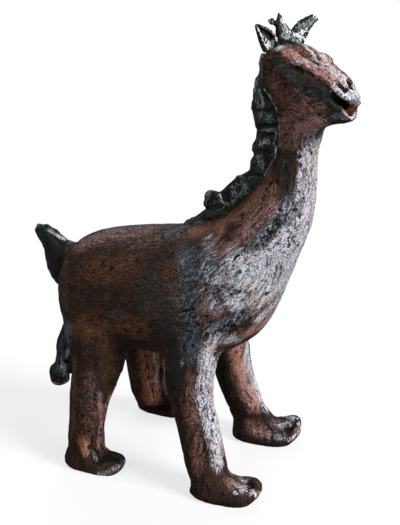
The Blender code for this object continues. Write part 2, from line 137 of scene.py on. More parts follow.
SKIN_MARKS: dict[Layer, tuple[Mark, ...]] = {
    Layer.ASH: (
        # Pale ash, and painted sheen on the lit neck front, chest, breast and shins.
        Mark("neck front", ((313, 140), (315, 160), (315, 185), (313, 205), (309, 225)), 7, 0.72),
        Mark("neck foot", ((307, 205), (305, 225), (299, 245), (291, 265), (281, 284)), 12, 1.0),
        Mark("chest sheen", ((256, 264), (262, 280), (262, 292)), 17, 1.0),
        Mark("chest left", ((236, 262), (243, 280)), 14, 1.0),
        Mark("chest top", ((291, 230), (282, 241), (272, 253)), 10, 0.85),
        Mark("breast", ((276, 284), (260, 300)), 14, 0.9),
        # The breast edge is painted light on the shaded underside of the breast.
        Mark("breast edge", ((289, 280), (280, 300), (262, 316)), 10, 0.75),
        Mark("shoulder cap", ((222, 264), (215, 280)), 11, 0.55),
        Mark("shoulder foot", ((228, 286), (226, 294)), 8, 0.6),
        Mark("shoulder edge", ((208, 240), (207, 262), (206, 288), (214, 306)), 10, 0.48),
        Mark("low breast", ((248, 302), (234, 303)), 11, 0.72),
        Mark("arm top", ((236, 341), (217, 338), (208, 346)), 8, 0.65),
        Mark("arm strip", ((201, 362), (202, 382)), 4.5, 0.7),
        Mark("foreleg shin", ((208, 350), (211, 380), (214, 410), (217, 440), (219, 465)), 8.5, 0.76),
        Mark("far foreleg shin", ((256, 385), (264, 404), (274, 416)), 7, 0.25),
        Mark("back", ((85, 243), (110, 231), (140, 226), (175, 225)), 14, 0.13),
        Mark("toe", ((228, 480), (240, 481), (252, 477)), 6, 0.16),
        # The far toe's top and rim marks are painted highlights.
        Mark("far toe top", ((284, 424),), 8, 0.75),
        Mark("far toe rim", ((288, 417), (297, 420), (300, 428), (297, 435), (289, 440)), 3, 0.9),
        Mark("far toe lower", ((272, 436), (284, 438)), 4, 0.4),
        Mark("hind toe cap", ((101, 475), (112, 471), (124, 464)), 4.5, 0.32),
        Mark("hind instep", ((93, 453), (96, 459)), 3, 0.22),
        Mark("muzzle", ((340, 92), (347, 97), (356, 99)), 8, 0.95),
        Mark("nose tip", ((346, 80), (353, 88), (357, 94)), 7, 0.85),
        Mark("brow rim", ((303, 45), (311, 52), (318, 59)), 2.6, 0.7),
        # The brow end is a painted highlight on the brow.
        Mark("brow end", ((294, 60), (299, 64)), 3.2, 0.42),
        Mark("nose veil", ((322, 62), (334, 71), (345, 82)), 9, 0.42),
        Mark("far brow", ((322, 57), (328, 62)), 5, 0.5),
        Mark("poll", ((266, 47), (272, 45), (280, 47)), 6, 0.5),
        Mark("forelock root", ((286, 40), (296, 42)), 5, 0.4),
        Mark("throat corner", ((316, 130), (312, 136)), 5, 0.5),
        # The tail top is painted light on the tail's lit upper face.
        Mark("tail top", ((50, 230), (57, 234), (64, 239)), 3.6, 0.8),
        Mark("tail tip rim", ((36.5, 227), (40, 224)), 2, 0.5),
        # The neck ridge marks are a painted edge highlight along the mane's foot.
        Mark("neck ridge high", ((264, 89), (269.5, 95.5), (274, 103), (277.5, 111)), 1.8, 0.35),
        Mark("neck ridge low", ((279, 118), (279, 130), (278, 140)), 1.6, 0.4),
        Mark("neck ridge foot", ((277, 146), (276, 157), (270, 165.5), (265, 174)), 1.8, 0.7),
        # The tail foot mark is partly painted glints.
        Mark("tail foot", ((67, 350), (63, 364), (65, 374)), 4.5, 0.6),
        Mark("tail foot rim", ((53, 382), (61, 384), (69, 380)), 2.2, 0.6),
    ),
    Layer.ROSE: (
        Mark("forehead", ((288, 51), (296, 57), (304, 62), (314, 68)), 6, 0.9),
        Mark("nose bridge", ((320, 60), (331, 70), (342, 80)), 11, 1.0),
        Mark("cheek ridge", ((314, 70), (326, 77), (332, 82)), 5, 0.7),
        Mark("far brow", ((322, 57),), 6, 0.7),
        Mark("hind ankle", ((86, 443), (86, 455)), 4, 0.55),
        Mark("hind shin", ((100, 395), (102, 420), (99, 446)), 4, 0.6),
        Mark("far hind leg", ((147, 352), (149, 378), (156, 398)), 12, 0.35),
        # The far hind strip and edge are lighter as painted light on the leg's lit strips.
        Mark("far hind strip", ((155.5, 354), (156, 372), (157, 388)), 4.5, 1.0),
        Mark("far hind edge", ((164, 358), (165, 388)), 3.5, 1.0),
        Mark("tail foot rim", ((53, 382), (61, 384), (69, 380)), 2.5, 0.6),
        Mark("rump rim", ((67, 250), (64, 280), (66, 310)), 7, 0.10),
        Mark("foreleg side", ((190, 380), (195, 430), (198, 470)), 9, 0.22),
        Mark("hind leg", ((88, 380), (92, 430)), 13, 0.14),
        Mark("far foot", ((250, 425), (265, 434)), 9, 0.45),
        Mark("toe", ((232, 484), (248, 492)), 7, 0.4),
        Mark("throat", ((316, 124), (304, 130)), 11, 0.95),
        Mark("cheek", ((278, 92), (300, 100)), 14, 0.12),
        Mark("jaw", ((298, 110), (320, 112)), 10, 0.35),
        Mark("throat low", ((300, 128), (297, 142)), 8, 0.4),
        Mark("neck", ((290, 118), (285, 140)), 11, 0.3),
        Mark("collar", ((270, 192), (242, 214), (218, 228)), 10, 0.3),
        Mark("neck edge", ((283, 120), (281, 145)), 5, 0.3),
        Mark("shoulder streak", ((270, 205), (250, 225), (235, 243)), 11, 0.5),
        Mark("shoulder", ((208, 241), (222, 251), (236, 247)), 9, 0.48),
        # The breast corner and chest rim are rose with painted light on the lower breast and the
        # chest's edge.
        Mark("breast corner", ((290, 285), (280, 306), (264, 324), (250, 332)), 10, 1.0),
        Mark("chest rim", ((305, 245), (298, 265), (290, 285)), 6, 0.5),
        Mark("low breast", ((232, 340), (240, 334)), 8, 0.55),
        Mark("arm", ((206, 308), (218, 312)), 9, 0.5),
        Mark("far foreleg", ((240, 350), (246, 374), (256, 400)), 14, 1.0),
        Mark("back", ((80, 245), (110, 234), (150, 229)), 13, 0.26),
        Mark("girth edge", ((205, 300), (200, 320)), 8, 0.3),
    ),
    Layer.RUST: (
        Mark("collar", ((195, 231), (215, 226), (238, 211), (257, 193), (268, 178)), 11, 0.95),
        Mark("collar spot", ((221, 232),), 6, 1.0),
        Mark("collar end", ((250, 207), (258, 205)), 8, 0.55),
        Mark("shoulder spot", ((226, 262), (224, 278)), 5, 0.5),
        Mark("breast spot", ((250, 302), (256, 314)), 6, 0.4),
        Mark("rump", ((88, 270), (112, 272), (125, 265)), 18, 0.2),
        Mark("flank low", ((80, 326), (110, 330), (135, 328)), 16, 0.34),
        Mark("hind edge", ((75, 360), (74, 400), (72, 440)), 6, 0.3),
        Mark("far foreleg top", ((236, 350), (243, 372)), 10, 0.9),
        Mark("far hind band", ((150, 352), (153, 398)), 14, 1.0),
        Mark("poll spot", ((284, 46), (289, 48)), 4, 0.9),
        Mark("forehead mottle", ((290, 44), (299, 50), (309, 57)), 5.5, 0.75),
        Mark("cheek spot", ((306, 101),), 4, 0.9),
        Mark("cheek", ((272, 80), (282, 98)), 10, 0.35),
        Mark("nape", ((267, 68), (268, 84), (276, 98)), 6, 0.22),
        Mark("poll side", ((269, 56),), 5, 0.4),
        Mark("jaw", ((300, 112), (318, 115)), 7, 0.2),
        Mark("neck", ((286, 112), (294, 128)), 9, 0.25),
        Mark("ankle", ((83, 438), (88, 450)), 8, 0.5),
        Mark("foreleg left", ((186, 400), (190, 430), (196, 462)), 8, 0.28),
        Mark("low breast", ((222, 310), (240, 300)), 8, 0.2),
        Mark("belly edge", ((225, 345), (240, 342)), 7, 0.4),
    ),
    Layer.SLATE: (
        Mark("girth", ((188, 258), (191, 290), (188, 322), (190, 350)), 20, 0.55),
        Mark("blade high", ((290, 202), (276, 218), (260, 236), (250, 246)), 10, 1.0),
        Mark("blade low", ((216, 262), (203, 275)), 10, 0.8),
        Mark("neck base", ((293, 222), (302, 200)), 8, 0.9),
        Mark("neck streak", ((303, 168), (304, 182), (301, 198), (294, 216)), 4, 0.7),
        Mark("neck", ((283, 160), (284, 173)), 6, 0.42),
        Mark("elbow", ((214, 328), (230, 320), (243, 314)), 8.5, 0.9),
        Mark("shoulder", ((206, 250), (204, 285), (216, 300)), 10, 0.6),
        Mark("flank", ((150, 270), (158, 330)), 18, 0.2),
        Mark("cheek", ((278, 66), (300, 88), (322, 100)), 9, 0.35),
        Mark("chin", ((334, 112), (343, 117)), 6, 0.7),
        Mark("arm", ((199, 352), (202, 338)), 7, 0.6),
        Mark("arm side", ((192, 312), (190, 330), (188, 352)), 11, 0.75),
        Mark("arm top", ((205, 345), (200, 365)), 5, 0.4),
        Mark("haunch", ((117, 314),), 12, 0.3),
        Mark("withers", ((170, 232), (188, 224), (205, 218)), 9, 0.7),
        Mark("thigh", ((97, 380), (96, 410)), 7, 0.35),
        Mark("tail foot", ((68, 328), (64, 350), (60, 370)), 10, 0.95),
        Mark("toe", ((270, 438), (262, 432)), 6, 0.3),
        Mark("poll", ((270, 50), (285, 40), (292, 43)), 5, 0.8),
        Mark("shin side", ((205, 400), (209, 430)), 3, 0.4),
    ),
    Layer.GLAZE: (
        Mark("elbow patch", ((170, 340), (175, 358), (180, 378)), 11, 0.9),
        Mark("elbow patch top", ((170, 325), (188, 340)), 10, 0.4),
        Mark("haunch", ((97, 360), (96, 395)), 6, 0.3),
        Mark("chin", ((325, 98), (331, 108), (338, 116)), 8, 0.5),
        Mark("cheek top", ((296, 74), (315, 87), (327, 94)), 8, 0.55),
        # The neck and flank shade marks are painted shade in the glaze's colour.
        Mark("neck shade", ((286, 155), (290, 180)), 9, 0.45),
        Mark("flank shade", ((150, 262), (160, 300), (165, 330)), 16, 0.35),
        Mark("tail behind the rump", ((60, 288), (61.5, 300), (63.5, 312), (64.5, 322)), 2.6, 0.9),
    ),
    Layer.CHALK: (
        # White glaze on the lips, nostril, ear feet and toe bit; painted glints and sheen flecks
        # elsewhere.
        Mark("upper lip", ((344, 98), (350, 102), (357, 103), (360, 99)), 3.2, 0.85),
        Mark("nostril spot", ((334, 87),), 2.6, 0.9),
        Mark("nostril edge", ((346, 88.5),), 1.8, 0.8),
        Mark("lower lip rim", ((341.5, 107.5), (345, 113), (349, 117), (353, 118)), 1.5, 0.9),
        Mark("lower lip front", ((352, 117.5), (356, 114.5)), 2.2, 0.6),
        Mark("ear foot", ((264, 46), (269, 42), (276, 39)), 3.6, 0.9),
        Mark("far ear foot", ((292, 36), (300, 40.5)), 3.2, 0.8),
        Mark("toe bit", ((261, 488), (261.5, 493)), 1.4, 0.7),
        Mark("chest sheen", ((240, 262), (252, 272), (262, 286), (268, 292)), 13, 0.4),
        Mark("chest edge", ((301, 236), (296, 250), (288, 272)), 8, 0.2),
        Mark("blade flecks", ((290, 205), (274, 224), (260, 240)), 9, 0.12),
        Mark("girth flecks", ((184, 256), (190, 290), (186, 332)), 13, 0.07),
        Mark("breast edge", ((288, 284), (276, 304), (256, 319)), 8, 0.14),
        # The far hind strips and edge are painted light on the leg's lit strips.
        Mark("far hind strips", ((155.5, 354), (156, 372), (157, 388)), 3.0, 0.28),
        Mark("far hind edge", ((164.5, 360), (165, 388)), 2.0, 0.4),
        Mark("elbow flecks", ((206, 330), (222, 326), (240, 318)), 8, 0.17),
        Mark("shoulder flecks", ((208, 262), (206, 288)), 8, 0.17),
        Mark("arm glint", ((181.7, 364.5),), 1.0, 0.7),
        Mark("tail glint high", ((67.5, 352), (65.5, 358)), 2.2, 0.9),
        Mark("tail glint low", ((61.5, 366), (64, 371), (66, 376)), 2.4, 0.9),
    ),
    Layer.BARE: (
        Mark("mouth", ((349, 111.5), (354, 109.5)), 5.0, 1.0),
        Mark("far hind leg", ((148, 352), (151, 396)), 9, 0.2),
        Mark("far foreleg", ((236, 348), (241, 368)), 9, 0.12),
        Mark("ankle", ((82, 440), (84, 450)), 4, 0.1),
        Mark("collar spot", ((221, 231),), 5, 0.2),
    ),
    Layer.SOOT: (
        # Painted shade under the upper lip, below the cheek ridge, in the nostril, brow slit and foot
        # dents.
        Mark("mouth", ((334, 95.5), (341, 101), (345, 106)), 4.5, 1.0),
        Mark("under ridge", ((300, 68), (311, 73), (322, 81), (331, 90)), 3.4, 0.2),
        Mark("nostril", ((340, 85), (345.5, 90)), 3.4, 1.0),
        Mark("thumb dent", ((251, 483),), 5.0, 0.9),
        Mark("forelock foot", ((281, 41), (290, 43.5), (300, 46)), 3.6, 0.6),
        Mark("forehead mottle", ((292, 46), (300, 50), (309, 57)), 4.5, 0.42),
        # The marks from here down are painted shade under the feet, in toe hollows, under the lip and
        # on the far foreleg.
        Mark("foot sole", ((190, 497), (215, 505), (240, 503), (258, 496)), 3, 0.4),
        Mark("far toe band", ((286, 430), (294, 427), (296, 420)), 3.6, 0.9),
        Mark("far hind foot", ((146, 408), (156, 411), (168, 410)), 4, 0.45),
        Mark("hind toe", ((100, 462), (108, 457), (118, 461)), 4.5, 0.75),
        Mark("far heel", ((234, 433), (250, 439)), 4, 0.5),
        Mark("brow slit", ((317.5, 57.5), (321, 62)), 1.6, 0.9),
        Mark("heel", ((190, 487), (196, 493)), 3, 0.5),
        Mark("far foreleg shade", ((221, 368), (229, 402)), 6, 0.45),
        Mark("lip foot", ((338, 121), (350, 122)), 2.0, 0.7),
        Mark("poll", ((279, 36), (282, 42)), 2.5, 0.7),
    ),
}
SKIN_STROKES = (
    Stroke("cheek ridge", ((289, 50), (295, 60), (306, 67), (319, 76), (331, 84.5)), 2.4, 1.1),
    Stroke("ridge groove", ((298, 69), (309, 74), (321, 82), (330, 90)), 3.2, -1.8, 0.2),
    Stroke("forehead crease", ((300, 53), (311, 60), (319.5, 65.5)), 1.5, -1.5, 0.8),
    Stroke("forehead fold", ((301, 50), (312, 57), (320, 63.5)), 1.5, 0.9),
    Stroke("brow slit", ((317, 57), (321, 62)), 1.6, -1.6, 0.9),
    Stroke("brow rim", ((303, 45), (311, 51), (317, 57)), 1.3, 0.8),
    Stroke("far brow", ((321, 56), (326, 56), (331, 60)), 2.6, 1.4),
    Stroke("ring mark", ((324, 64.5), (326, 66.5), (328.5, 67)), 1.2, -0.9, 0.8),
    Stroke("pit by the ring", ((311.7, 67),), 1.3, -0.9, 0.9),
    Stroke("pit below", ((318, 69),), 1.4, -0.9, 0.9),
    Stroke("nose pit", ((329, 78),), 1.3, -0.9, 1.0),
    Stroke("nose pit low", ((334.5, 80.8),), 1.0, -0.7, 0.8),
    Stroke("nose pit high", ((329.5, 72),), 1.0, -0.6, 0.7),
    Stroke("nose crease", ((342, 74), (347, 81), (351, 88)), 1.2, -0.7, 0.35),
    Stroke("nostril rim", ((334, 87), (335.5, 81.5), (341, 79.5), (347, 84), (348, 90)), 1.9, 0.9),
    Stroke("nostril", ((340, 85), (345.5, 90)), 3.3, -2.4, 1.0),
    Stroke("nose dip", ((347, 80), (350.5, 84.5)), 5.0, -2.4),
    Stroke("upper lip tip", ((355, 95), (357, 99)), 5.0, 2.8),
    Stroke("lip pit", ((357, 95.5),), 1.4, -0.8, 0.9),
    Stroke("lip pit low", ((350, 92.5),), 1.1, -0.7, 0.8),
    Stroke("cheek pit high", ((307.5, 96.5),), 1.3, -0.8, 1.0),
    Stroke("cheek pit low", ((309, 104.3),), 1.3, -0.8, 1.0),
    Stroke("throat ring", ((322.8, 124),), 1.3, -0.7, 0.9),
    Stroke("throat pit", ((308, 121),), 1.2, -0.7, 0.9),
    Stroke("lip corner fold", ((325, 112), (333, 104), (339, 105)), 1.6, -0.8, 0.4),
    Stroke("foreleg ridge", ((192, 362), (195.5, 380), (200, 399), (204, 416)), 1.6, 1.5),
    Stroke("foreleg groove", ((195, 362), (198.5, 380), (203, 399)), 1.4, -1.2, 0.7),
    Stroke("shin crease", ((202, 428), (206, 444), (204, 459)), 1.4, -0.9, 0.6),
    Stroke("arm ridge", ((206, 345), (208, 362)), 1.5, 0.8),
    Stroke("ankle crease", ((207, 486), (208.5, 496)), 1.5, -1.2, 0.9),
    Stroke("heel lip", ((190, 484), (191, 492)), 2.6, 1.1),
    Stroke("foot crease", ((231.5, 484), (239, 493)), 1.4, -1.1, 0.8),
    Stroke("instep crease", ((222, 470), (231, 474), (241, 476)), 1.5, -0.8, 0.4),
    Stroke("thumb dent", ((251, 484),), 5.4, -2.4, 0.4),
    Stroke("toe lip", ((245, 477), (254, 477), (260, 484), (261, 493)), 2.0, 1.1),
    Stroke("far ankle crease", ((261.4, 408), (265, 422)), 1.6, -1.6, 1.0),
    Stroke("far foot crease", ((266, 424), (272, 430)), 1.4, -1.0, 0.6),
    Stroke("far toe hollow", ((286, 431), (294, 427), (295.5, 419)), 2.4, -1.5, 0.4),
    Stroke("far toe rim", ((289, 417), (298, 421), (300, 429), (296, 437)), 1.8, 0.9),
    Stroke("far heel lump", ((234, 424), (235, 433)), 2.6, 1.1),
    Stroke("far hind ridge", ((143, 355), (145, 380), (151, 400), (157, 405)), 1.8, 1.5),
    Stroke("far hind groove", ((147, 356), (149, 380), (154, 398)), 1.6, -1.1, 0.6),
    Stroke("far hind crack", ((160.5, 358), (160.5, 380), (161, 388), (164, 400)), 1.1, -1.0, 0.8),
    Stroke("haunch cut", ((90, 357), (94, 361.5), (98.5, 363)), 1.9, -1.9, 1.0),
    Stroke("instep crease hind", ((101, 440), (101, 447), (107, 455)), 1.3, -1.2, 0.9),
    Stroke(
        "ankle crease mid", ((96, 431), (92, 438), (92, 446), (98, 454), (101, 459)), 1.5, -1.4, 1.0
    ),
    Stroke("ankle fold", ((103, 446), (112, 452), (120, 457)), 1.4, -1.0, 0.6),
    Stroke("toe hollow hind", ((104, 459), (112, 461), (119, 461)), 3.0, -1.6, 0.5),
    Stroke("toe rim", ((105, 472), (117, 468), (125, 462)), 1.6, 0.8),
    Stroke("belly crease", ((115, 335), (128, 331), (141, 333)), 1.5, -1.0, 0.8),
    Stroke("thigh fold", ((128, 340), (120, 352), (114, 368)), 2.2, -0.7, 0.3),
    Stroke("rump hollow", ((96, 250), (93, 275), (95, 300), (98, 325)), 3.4, -0.7, 0.1),
    Stroke("breast cut", ((240, 252), (236, 257), (232, 262)), 1.3, -1.1, 1.0),
    Stroke("feather high", ((208, 277), (215, 281), (219, 290)), 1.4, -0.9, 0.7),
    Stroke("feather mid", ((203, 283), (211, 287), (217, 296)), 1.4, -0.9, 0.6),
    Stroke("feather low", ((200, 290), (208, 293), (213, 299)), 1.3, -0.8, 0.5),
    Stroke("feather ridge", ((206, 280), (214, 285), (219, 294)), 1.2, 0.8),
    Stroke("blade cut", ((272, 222), (262, 238), (252, 252)), 1.5, -0.9, 0.5),
    Stroke("blade ridge", ((275, 224), (264, 241), (256, 253)), 1.6, 0.8),
    Stroke("blade second cut", ((282, 205), (277, 222), (268, 236)), 1.4, -0.8, 0.7),
    Stroke("neck cut", ((304, 200), (298, 220), (288, 240), (284, 250)), 1.4, -0.8, 0.6),
    Stroke("neck cut high", ((294, 165), (297, 190), (292, 212)), 1.4, -0.7, 0.5),
    Stroke("nape cut", ((268, 176), (266, 196), (258, 212)), 1.8, -0.9, 0.5),
    Stroke("nape second cut", ((285, 160), (288, 185), (281, 206)), 1.8, -0.8, 0.5),
    Stroke("mane foot", ((199, 222), (228, 214), (246, 200), (262, 182)), 2.8, -1.0, 0.2),
    Stroke("elbow fold", ((150, 330), (157, 350), (163, 372)), 3.2, 0.9),
    Stroke("arm fold", ((184, 300), (186, 330), (183, 352)), 2.2, -0.9, 0.5),
    Stroke("breast fold", ((217, 332), (232, 321), (243, 313)), 1.8, -1.0, 0.7),
    Stroke("tail top edge", ((47, 228), (53, 231), (60, 236.5)), 3.4, -1.9),
    Stroke("tail cut", ((57, 240), (62, 246), (60, 262)), 2.0, -0.9, 0.3),
    Stroke("tail groove", ((50, 234), (56, 238), (61, 243)), 1.6, -1.2, 0.6),
    Stroke("tail tip groove", ((41, 229), (47, 240), (50, 254)), 2.0, -1.0, 0.5),
    Stroke("tail tooth", ((58, 334),), 3.0, 1.6),
    Stroke("tail waist", ((58, 361), (68, 362)), 2.0, -1.4, 0.7),
    Stroke("neck ridge", ((264, 89), (270, 96), (275, 104), (278.5, 114), (279.5, 130)), 1.6, 0.9),
    Stroke("neck ridge low", ((278, 146), (276.5, 158), (270, 167), (265, 175)), 1.6, 0.9),
)
MANE_MARKS: dict[Layer, tuple[Mark, ...]] = {
    Layer.PALE: (
        Mark("upper edge", ((261, 55), (259, 65)), 2.6, 0.8),
        Mark("upper lump", ((256, 76), (255, 88)), 4.2, 0.95),
        Mark("groove ridge", ((260, 90), (263, 99), (264, 107)), 1.7, 1.0),
        Mark("edge ridge", ((254, 91), (252, 107)), 1.8, 0.8),
        Mark("olive lock", ((257, 98), (259, 106)), 4, 0.25),
        Mark("dark lock", ((262, 114), (270, 120)), 6, 0.3),
        Mark("shelf", ((264, 130), (274, 129)), 3, 0.45),
        # The middle lock, neck edge and slope marks are painted highlights.
        Mark("middle lock", ((262, 144), (268, 141)), 3.4, 0.7),
        Mark("low locks", ((258, 156), (262, 164)), 5, 0.35),
        Mark("neck edge", ((276, 133), (274, 144)), 1.4, 0.6),
        Mark("neck edge low", ((276.5, 147), (276, 158), (270, 166), (265, 175)), 1.6, 0.8),
        Mark("slope", ((238, 182), (246, 187)), 3.2, 0.7),
        Mark("slope low", ((231, 188), (236, 187)), 2.4, 0.5),
        Mark("knob", ((208, 194), (207, 203), (214, 204)), 3.4, 0.35),
        Mark("foot", ((215, 206), (230, 199), (245, 189)), 6, 0.34),
    ),
    Layer.CHALK: (
        # Painted glints on the knob, a lock and the ridge.
        Mark("glint high", ((224, 191),), 1.6, 1.0),
        Mark("glint mid", ((220, 194), (222, 198)), 1.6, 1.0),
        Mark("glint low", ((222, 201), (222, 206)), 2.0, 0.7),
        Mark("lock glint", ((264, 142.5),), 1.3, 0.7),
        Mark("ridge", ((276.5, 149), (276.3, 156)), 1.2, 0.7),
    ),
    Layer.SOOT: (
        # Painted shade in the mane's hole, gaps, crevices and under its shelf.
        Mark("hole", ((264, 91), (268, 98)), 2.4, 1.0),
        Mark("gap", ((275, 106), (277.5, 114), (278, 124)), 1.8, 0.9),
        Mark("under shelf", ((256, 127), (274, 125)), 2.2, 0.6),
        Mark("tooth", ((252, 152), (254, 154)), 2.4, 0.7),
        Mark("low tooth", ((251, 158), (251, 170)), 3.2, 0.6),
        Mark("by the knob", ((223, 194), (224, 199), (229, 201)), 1.5, 1.0),
    ),
}
MANE_STROKES = (
    Stroke("hole", ((264, 90), (268, 98)), 3.0, -3.2, 0.9),
    Stroke("gap by the neck", ((274.5, 105), (277, 113), (277.5, 124)), 2.0, -2.0, 0.9),
    Stroke("long lock", ((260, 92), (258, 108)), 5.0, 1.2),
    Stroke("dark lock", ((262, 118), (270, 118)), 8.0, 1.8),
    Stroke("upper lump", ((256, 80), (256, 84)), 4.0, 1.3),
    Stroke("groove ridge", ((260, 90), (263, 99), (264, 107)), 1.9, 1.8),
    Stroke("edge ridge", ((254, 90), (252, 107)), 2.0, 1.0),
    Stroke("first shelf", ((255, 110), (265, 111), (275, 109)), 2.0, -1.8, 0.6),
    Stroke("notch shelf", ((258, 128), (266, 125), (275, 126)), 2.6, -3.0, 1.0),
    Stroke("notch lump", ((262, 130.5), (274, 130)), 3.4, 1.4),
    Stroke("under the notch", ((258, 133.5), (266, 135), (273, 134)), 2.0, -2.4, 0.9),
    Stroke("middle lock", ((256, 145), (268, 143)), 7.0, 2.4),
    Stroke("tooth shelf", ((253, 153.5), (262, 151), (269, 153)), 2.4, -2.8, 1.0),
    Stroke("low lock", ((253, 162), (262, 162)), 6.0, 2.0),
    Stroke("cleft", ((266, 156), (268, 163), (266, 168)), 2.2, -2.0, 0.9),
    Stroke("neck edge", ((276.5, 146), (276, 158), (270, 166), (265, 175)), 1.7, 1.4),
    Stroke("lock foot", ((249, 172), (256, 175), (262, 176)), 2.2, -2.2, 0.9),
    Stroke("slope lump", ((243, 181), (251, 181)), 6.0, 1.8),
    Stroke("slope cleft", ((236, 177), (241, 185), (238, 192)), 2.0, -2.2, 0.9),
    Stroke("slope second lump", ((232, 189), (228, 196)), 5.0, 1.6),
    Stroke("cleft by the knob", ((224, 191), (225, 198), (229, 201)), 2.0, -2.6, 1.0),
    Stroke("under the knob", ((206, 208), (216, 208), (222, 206)), 2.4, -1.8, 0.7),
)
CREST_LINE: Path = (
    (263, 60), (262.5, 72), (262.5, 82), (265, 90), (270, 96.5), (274.5, 104), (277.5, 112),
    (278.5, 122), (278.5, 135), (277.5, 149), (275.5, 158), (270, 167.5), (265, 176), (258, 184),
    (246, 196), (236, 205), (227, 211.5), (214, 216.5), (200, 219.5), (192, 220),
)
EDGE_LINE: Path = (
    (262, 52), (260, 57), (258.3, 63), (260, 69), (258, 75), (254, 80), (253, 87), (254, 93),
    (252.5, 100), (251, 107), (252, 113), (253.5, 120), (255, 126), (258.5, 131), (259, 133.5),
    (256, 135.5), (255.5, 141), (253, 147), (251.5, 151), (252.5, 154.5), (254, 155.7), (252, 157),
    (249.5, 162), (249, 167), (250, 171.5), (246, 172.8), (240, 174.5), (237, 175.3), (235, 178),
    (230, 182), (225, 187), (222, 190.5), (217, 195), (208, 200), (205.5, 206), (203, 210),
    (199, 213), (194, 216), (188, 218.5),
)
LIP_NOTCH: Path = ((357.7, 106.4), (360.8, 104.4), (372, 98), (372, 122), (357.6, 114))
LIP_GAP: Path = (
    (330.5, 93), (336, 94.5), (341, 97), (346, 100.5), (350, 104), (354, 105.8), (357, 106.5),
    (357, 111.5), (354.5, 115), (350.5, 115.3), (346.5, 112.5), (342.3, 107.8), (338, 103),
    (334, 97.5),
)


@dataclass(frozen=True)
class Lump:
    """A lump of clay: its middle in pixels, then its y and half sizes in millimetres."""

    px: float
    py: float
    y: float
    half: Triple

    def press(self) -> Object:
        """Add the lump."""
        middle = CAMERA.on_side_plane(self.px, self.py, self.y * MM)
        return Bench.ball(pressed(middle, tuple(value * MM for value in self.half)))


KNOB_LUMPS = (
    Lump(211, 197, -9.5, (7.4, 6.5, 7.4)),
    Lump(209, 203, -9.0, (6.4, 6.5, 6.4)),
    Lump(215, 200, -10.0, (5.5, 6.5, 5.5)),
    Lump(220, 198, -11.0, (4.8, 6.5, 4.8)),
)
TAIL_LUMPS = (
    Lump(39.5, 226.0, -8.0, (3.2, 4.0, 2.4)),
    Lump(55.5, 369.0, -7.0, (4.6, 6.5, 3.4)),
    Lump(57.0, 381.5, -7.0, (4.4, 6.0, 2.0)),
    Lump(64.0, 379.5, -7.0, (7.5, 6.5, 2.6)),
    Lump(71.5, 366.0, -7.0, (7.0, 6.0, 11.0)),
    Lump(73.5, 352.0, -7.0, (7.0, 5.0, 13.0)),
)


def direction(azimuth: float, elevation: float) -> Vector:
    """Give the unit vector towards a place around the horse.

    Args:
        azimuth: In degrees, 0 on the horse's right side and 90 ahead of it.
        elevation: In degrees above the horizon.

    Returns:
        The vector, in the row frame.
    """
    turn, rise = math.radians(azimuth), math.radians(elevation)
    level = math.cos(rise)
    return Vector((math.sin(turn) * level, -math.cos(turn) * level, math.sin(rise)))


@dataclass(frozen=True)
class PhotoCamera:
    """The camera that took the photograph, in the row frame."""

    place: Triple = (0.43439, -0.92302, 0.60228)
    azimuth: float = 24.5
    elevation: float = 20.0
    focal_px: float = 1000.0
    sensor_mm: float = 36.0
    clip_start: float = 0.01

    def axes(self) -> tuple[Vector, Vector, Vector]:
        """Give the camera's right, up and back directions.

        Returns:
            Three unit vectors in the row frame.
        """
        turn = math.radians(self.azimuth)
        back = direction(self.azimuth, self.elevation)
        right = Vector((math.cos(turn), math.sin(turn), 0.0))
        return right, back.cross(right), back

    def ray(self, px: float, py: float) -> Vector:
        """Give the direction in which a pixel looks, one metre deep.

        Args:
            px: Column in the photograph.
            py: Row in the photograph.

        Returns:
            A vector that reaches one metre along the camera's axis.
        """
        right, up, back = self.axes()
        across = (px - PHOTO_SIZE[0] / 2) / self.focal_px
        down = (py - PHOTO_SIZE[1] / 2) / self.focal_px
        return right * across - up * down - back

    def at_depth(self, px: float, py: float, depth: float) -> Vector:
        """Find the point that a pixel shows at a given depth along the camera's axis."""
        return Vector(self.place) + self.ray(px, py) * depth

    def depth_of(self, point: Vector) -> float:
        """Say how deep a point lies along the camera's axis."""
        return (Vector(self.place) - point).dot(self.axes()[2])

    def on_side_plane(self, px: float, py: float, y: float) -> Vector:
        """Find where a pixel meets the upright plane at a given y."""
        ray = self.ray(px, py)
        return self.at_depth(px, py, (y - self.place[1]) / ray.y)

    def add(self) -> None:
        """Create the camera and make it the scene's own."""
        bpy.ops.object.camera_add(
            location=self.place,
            rotation=(math.radians(90.0 - self.elevation), 0.0, math.radians(self.azimuth)),
        )
        camera = bpy.context.object
        camera.name = "photo camera"
        camera.data.lens = self.focal_px * self.sensor_mm / PHOTO_SIZE[1]
        camera.data.sensor_width = self.sensor_mm
        camera.data.clip_start = self.clip_start
        bpy.context.scene.camera = camera


@dataclass(frozen=True)
class HeadPose:
    """How the head is turned and rolled on the neck, for points given on a straight head."""

    turn: float = math.radians(-17.0)
    roll: float = math.radians(3.0)
    pivot: Triple = (0.11800, 0.0, 0.440)
    shift: Triple = (0.00255, -0.00842, 0.0)

    def matrix(self) -> Matrix:
        """Give the move from the straight head, in centimetres, to the row frame.

        Returns:
            A 4 by 4 matrix.
        """
        pivot = Vector(self.pivot)
        spin = Matrix.Rotation(self.turn, 4, "Z") @ Matrix.Rotation(self.roll, 4, "X")
        to_place = Matrix.Translation(pivot + Vector(self.shift)) @ spin @ Matrix.Translation(-pivot)
        return to_place @ Matrix.Scale(CM, 4)


CAMERA = PhotoCamera()
HEAD = HeadPose()


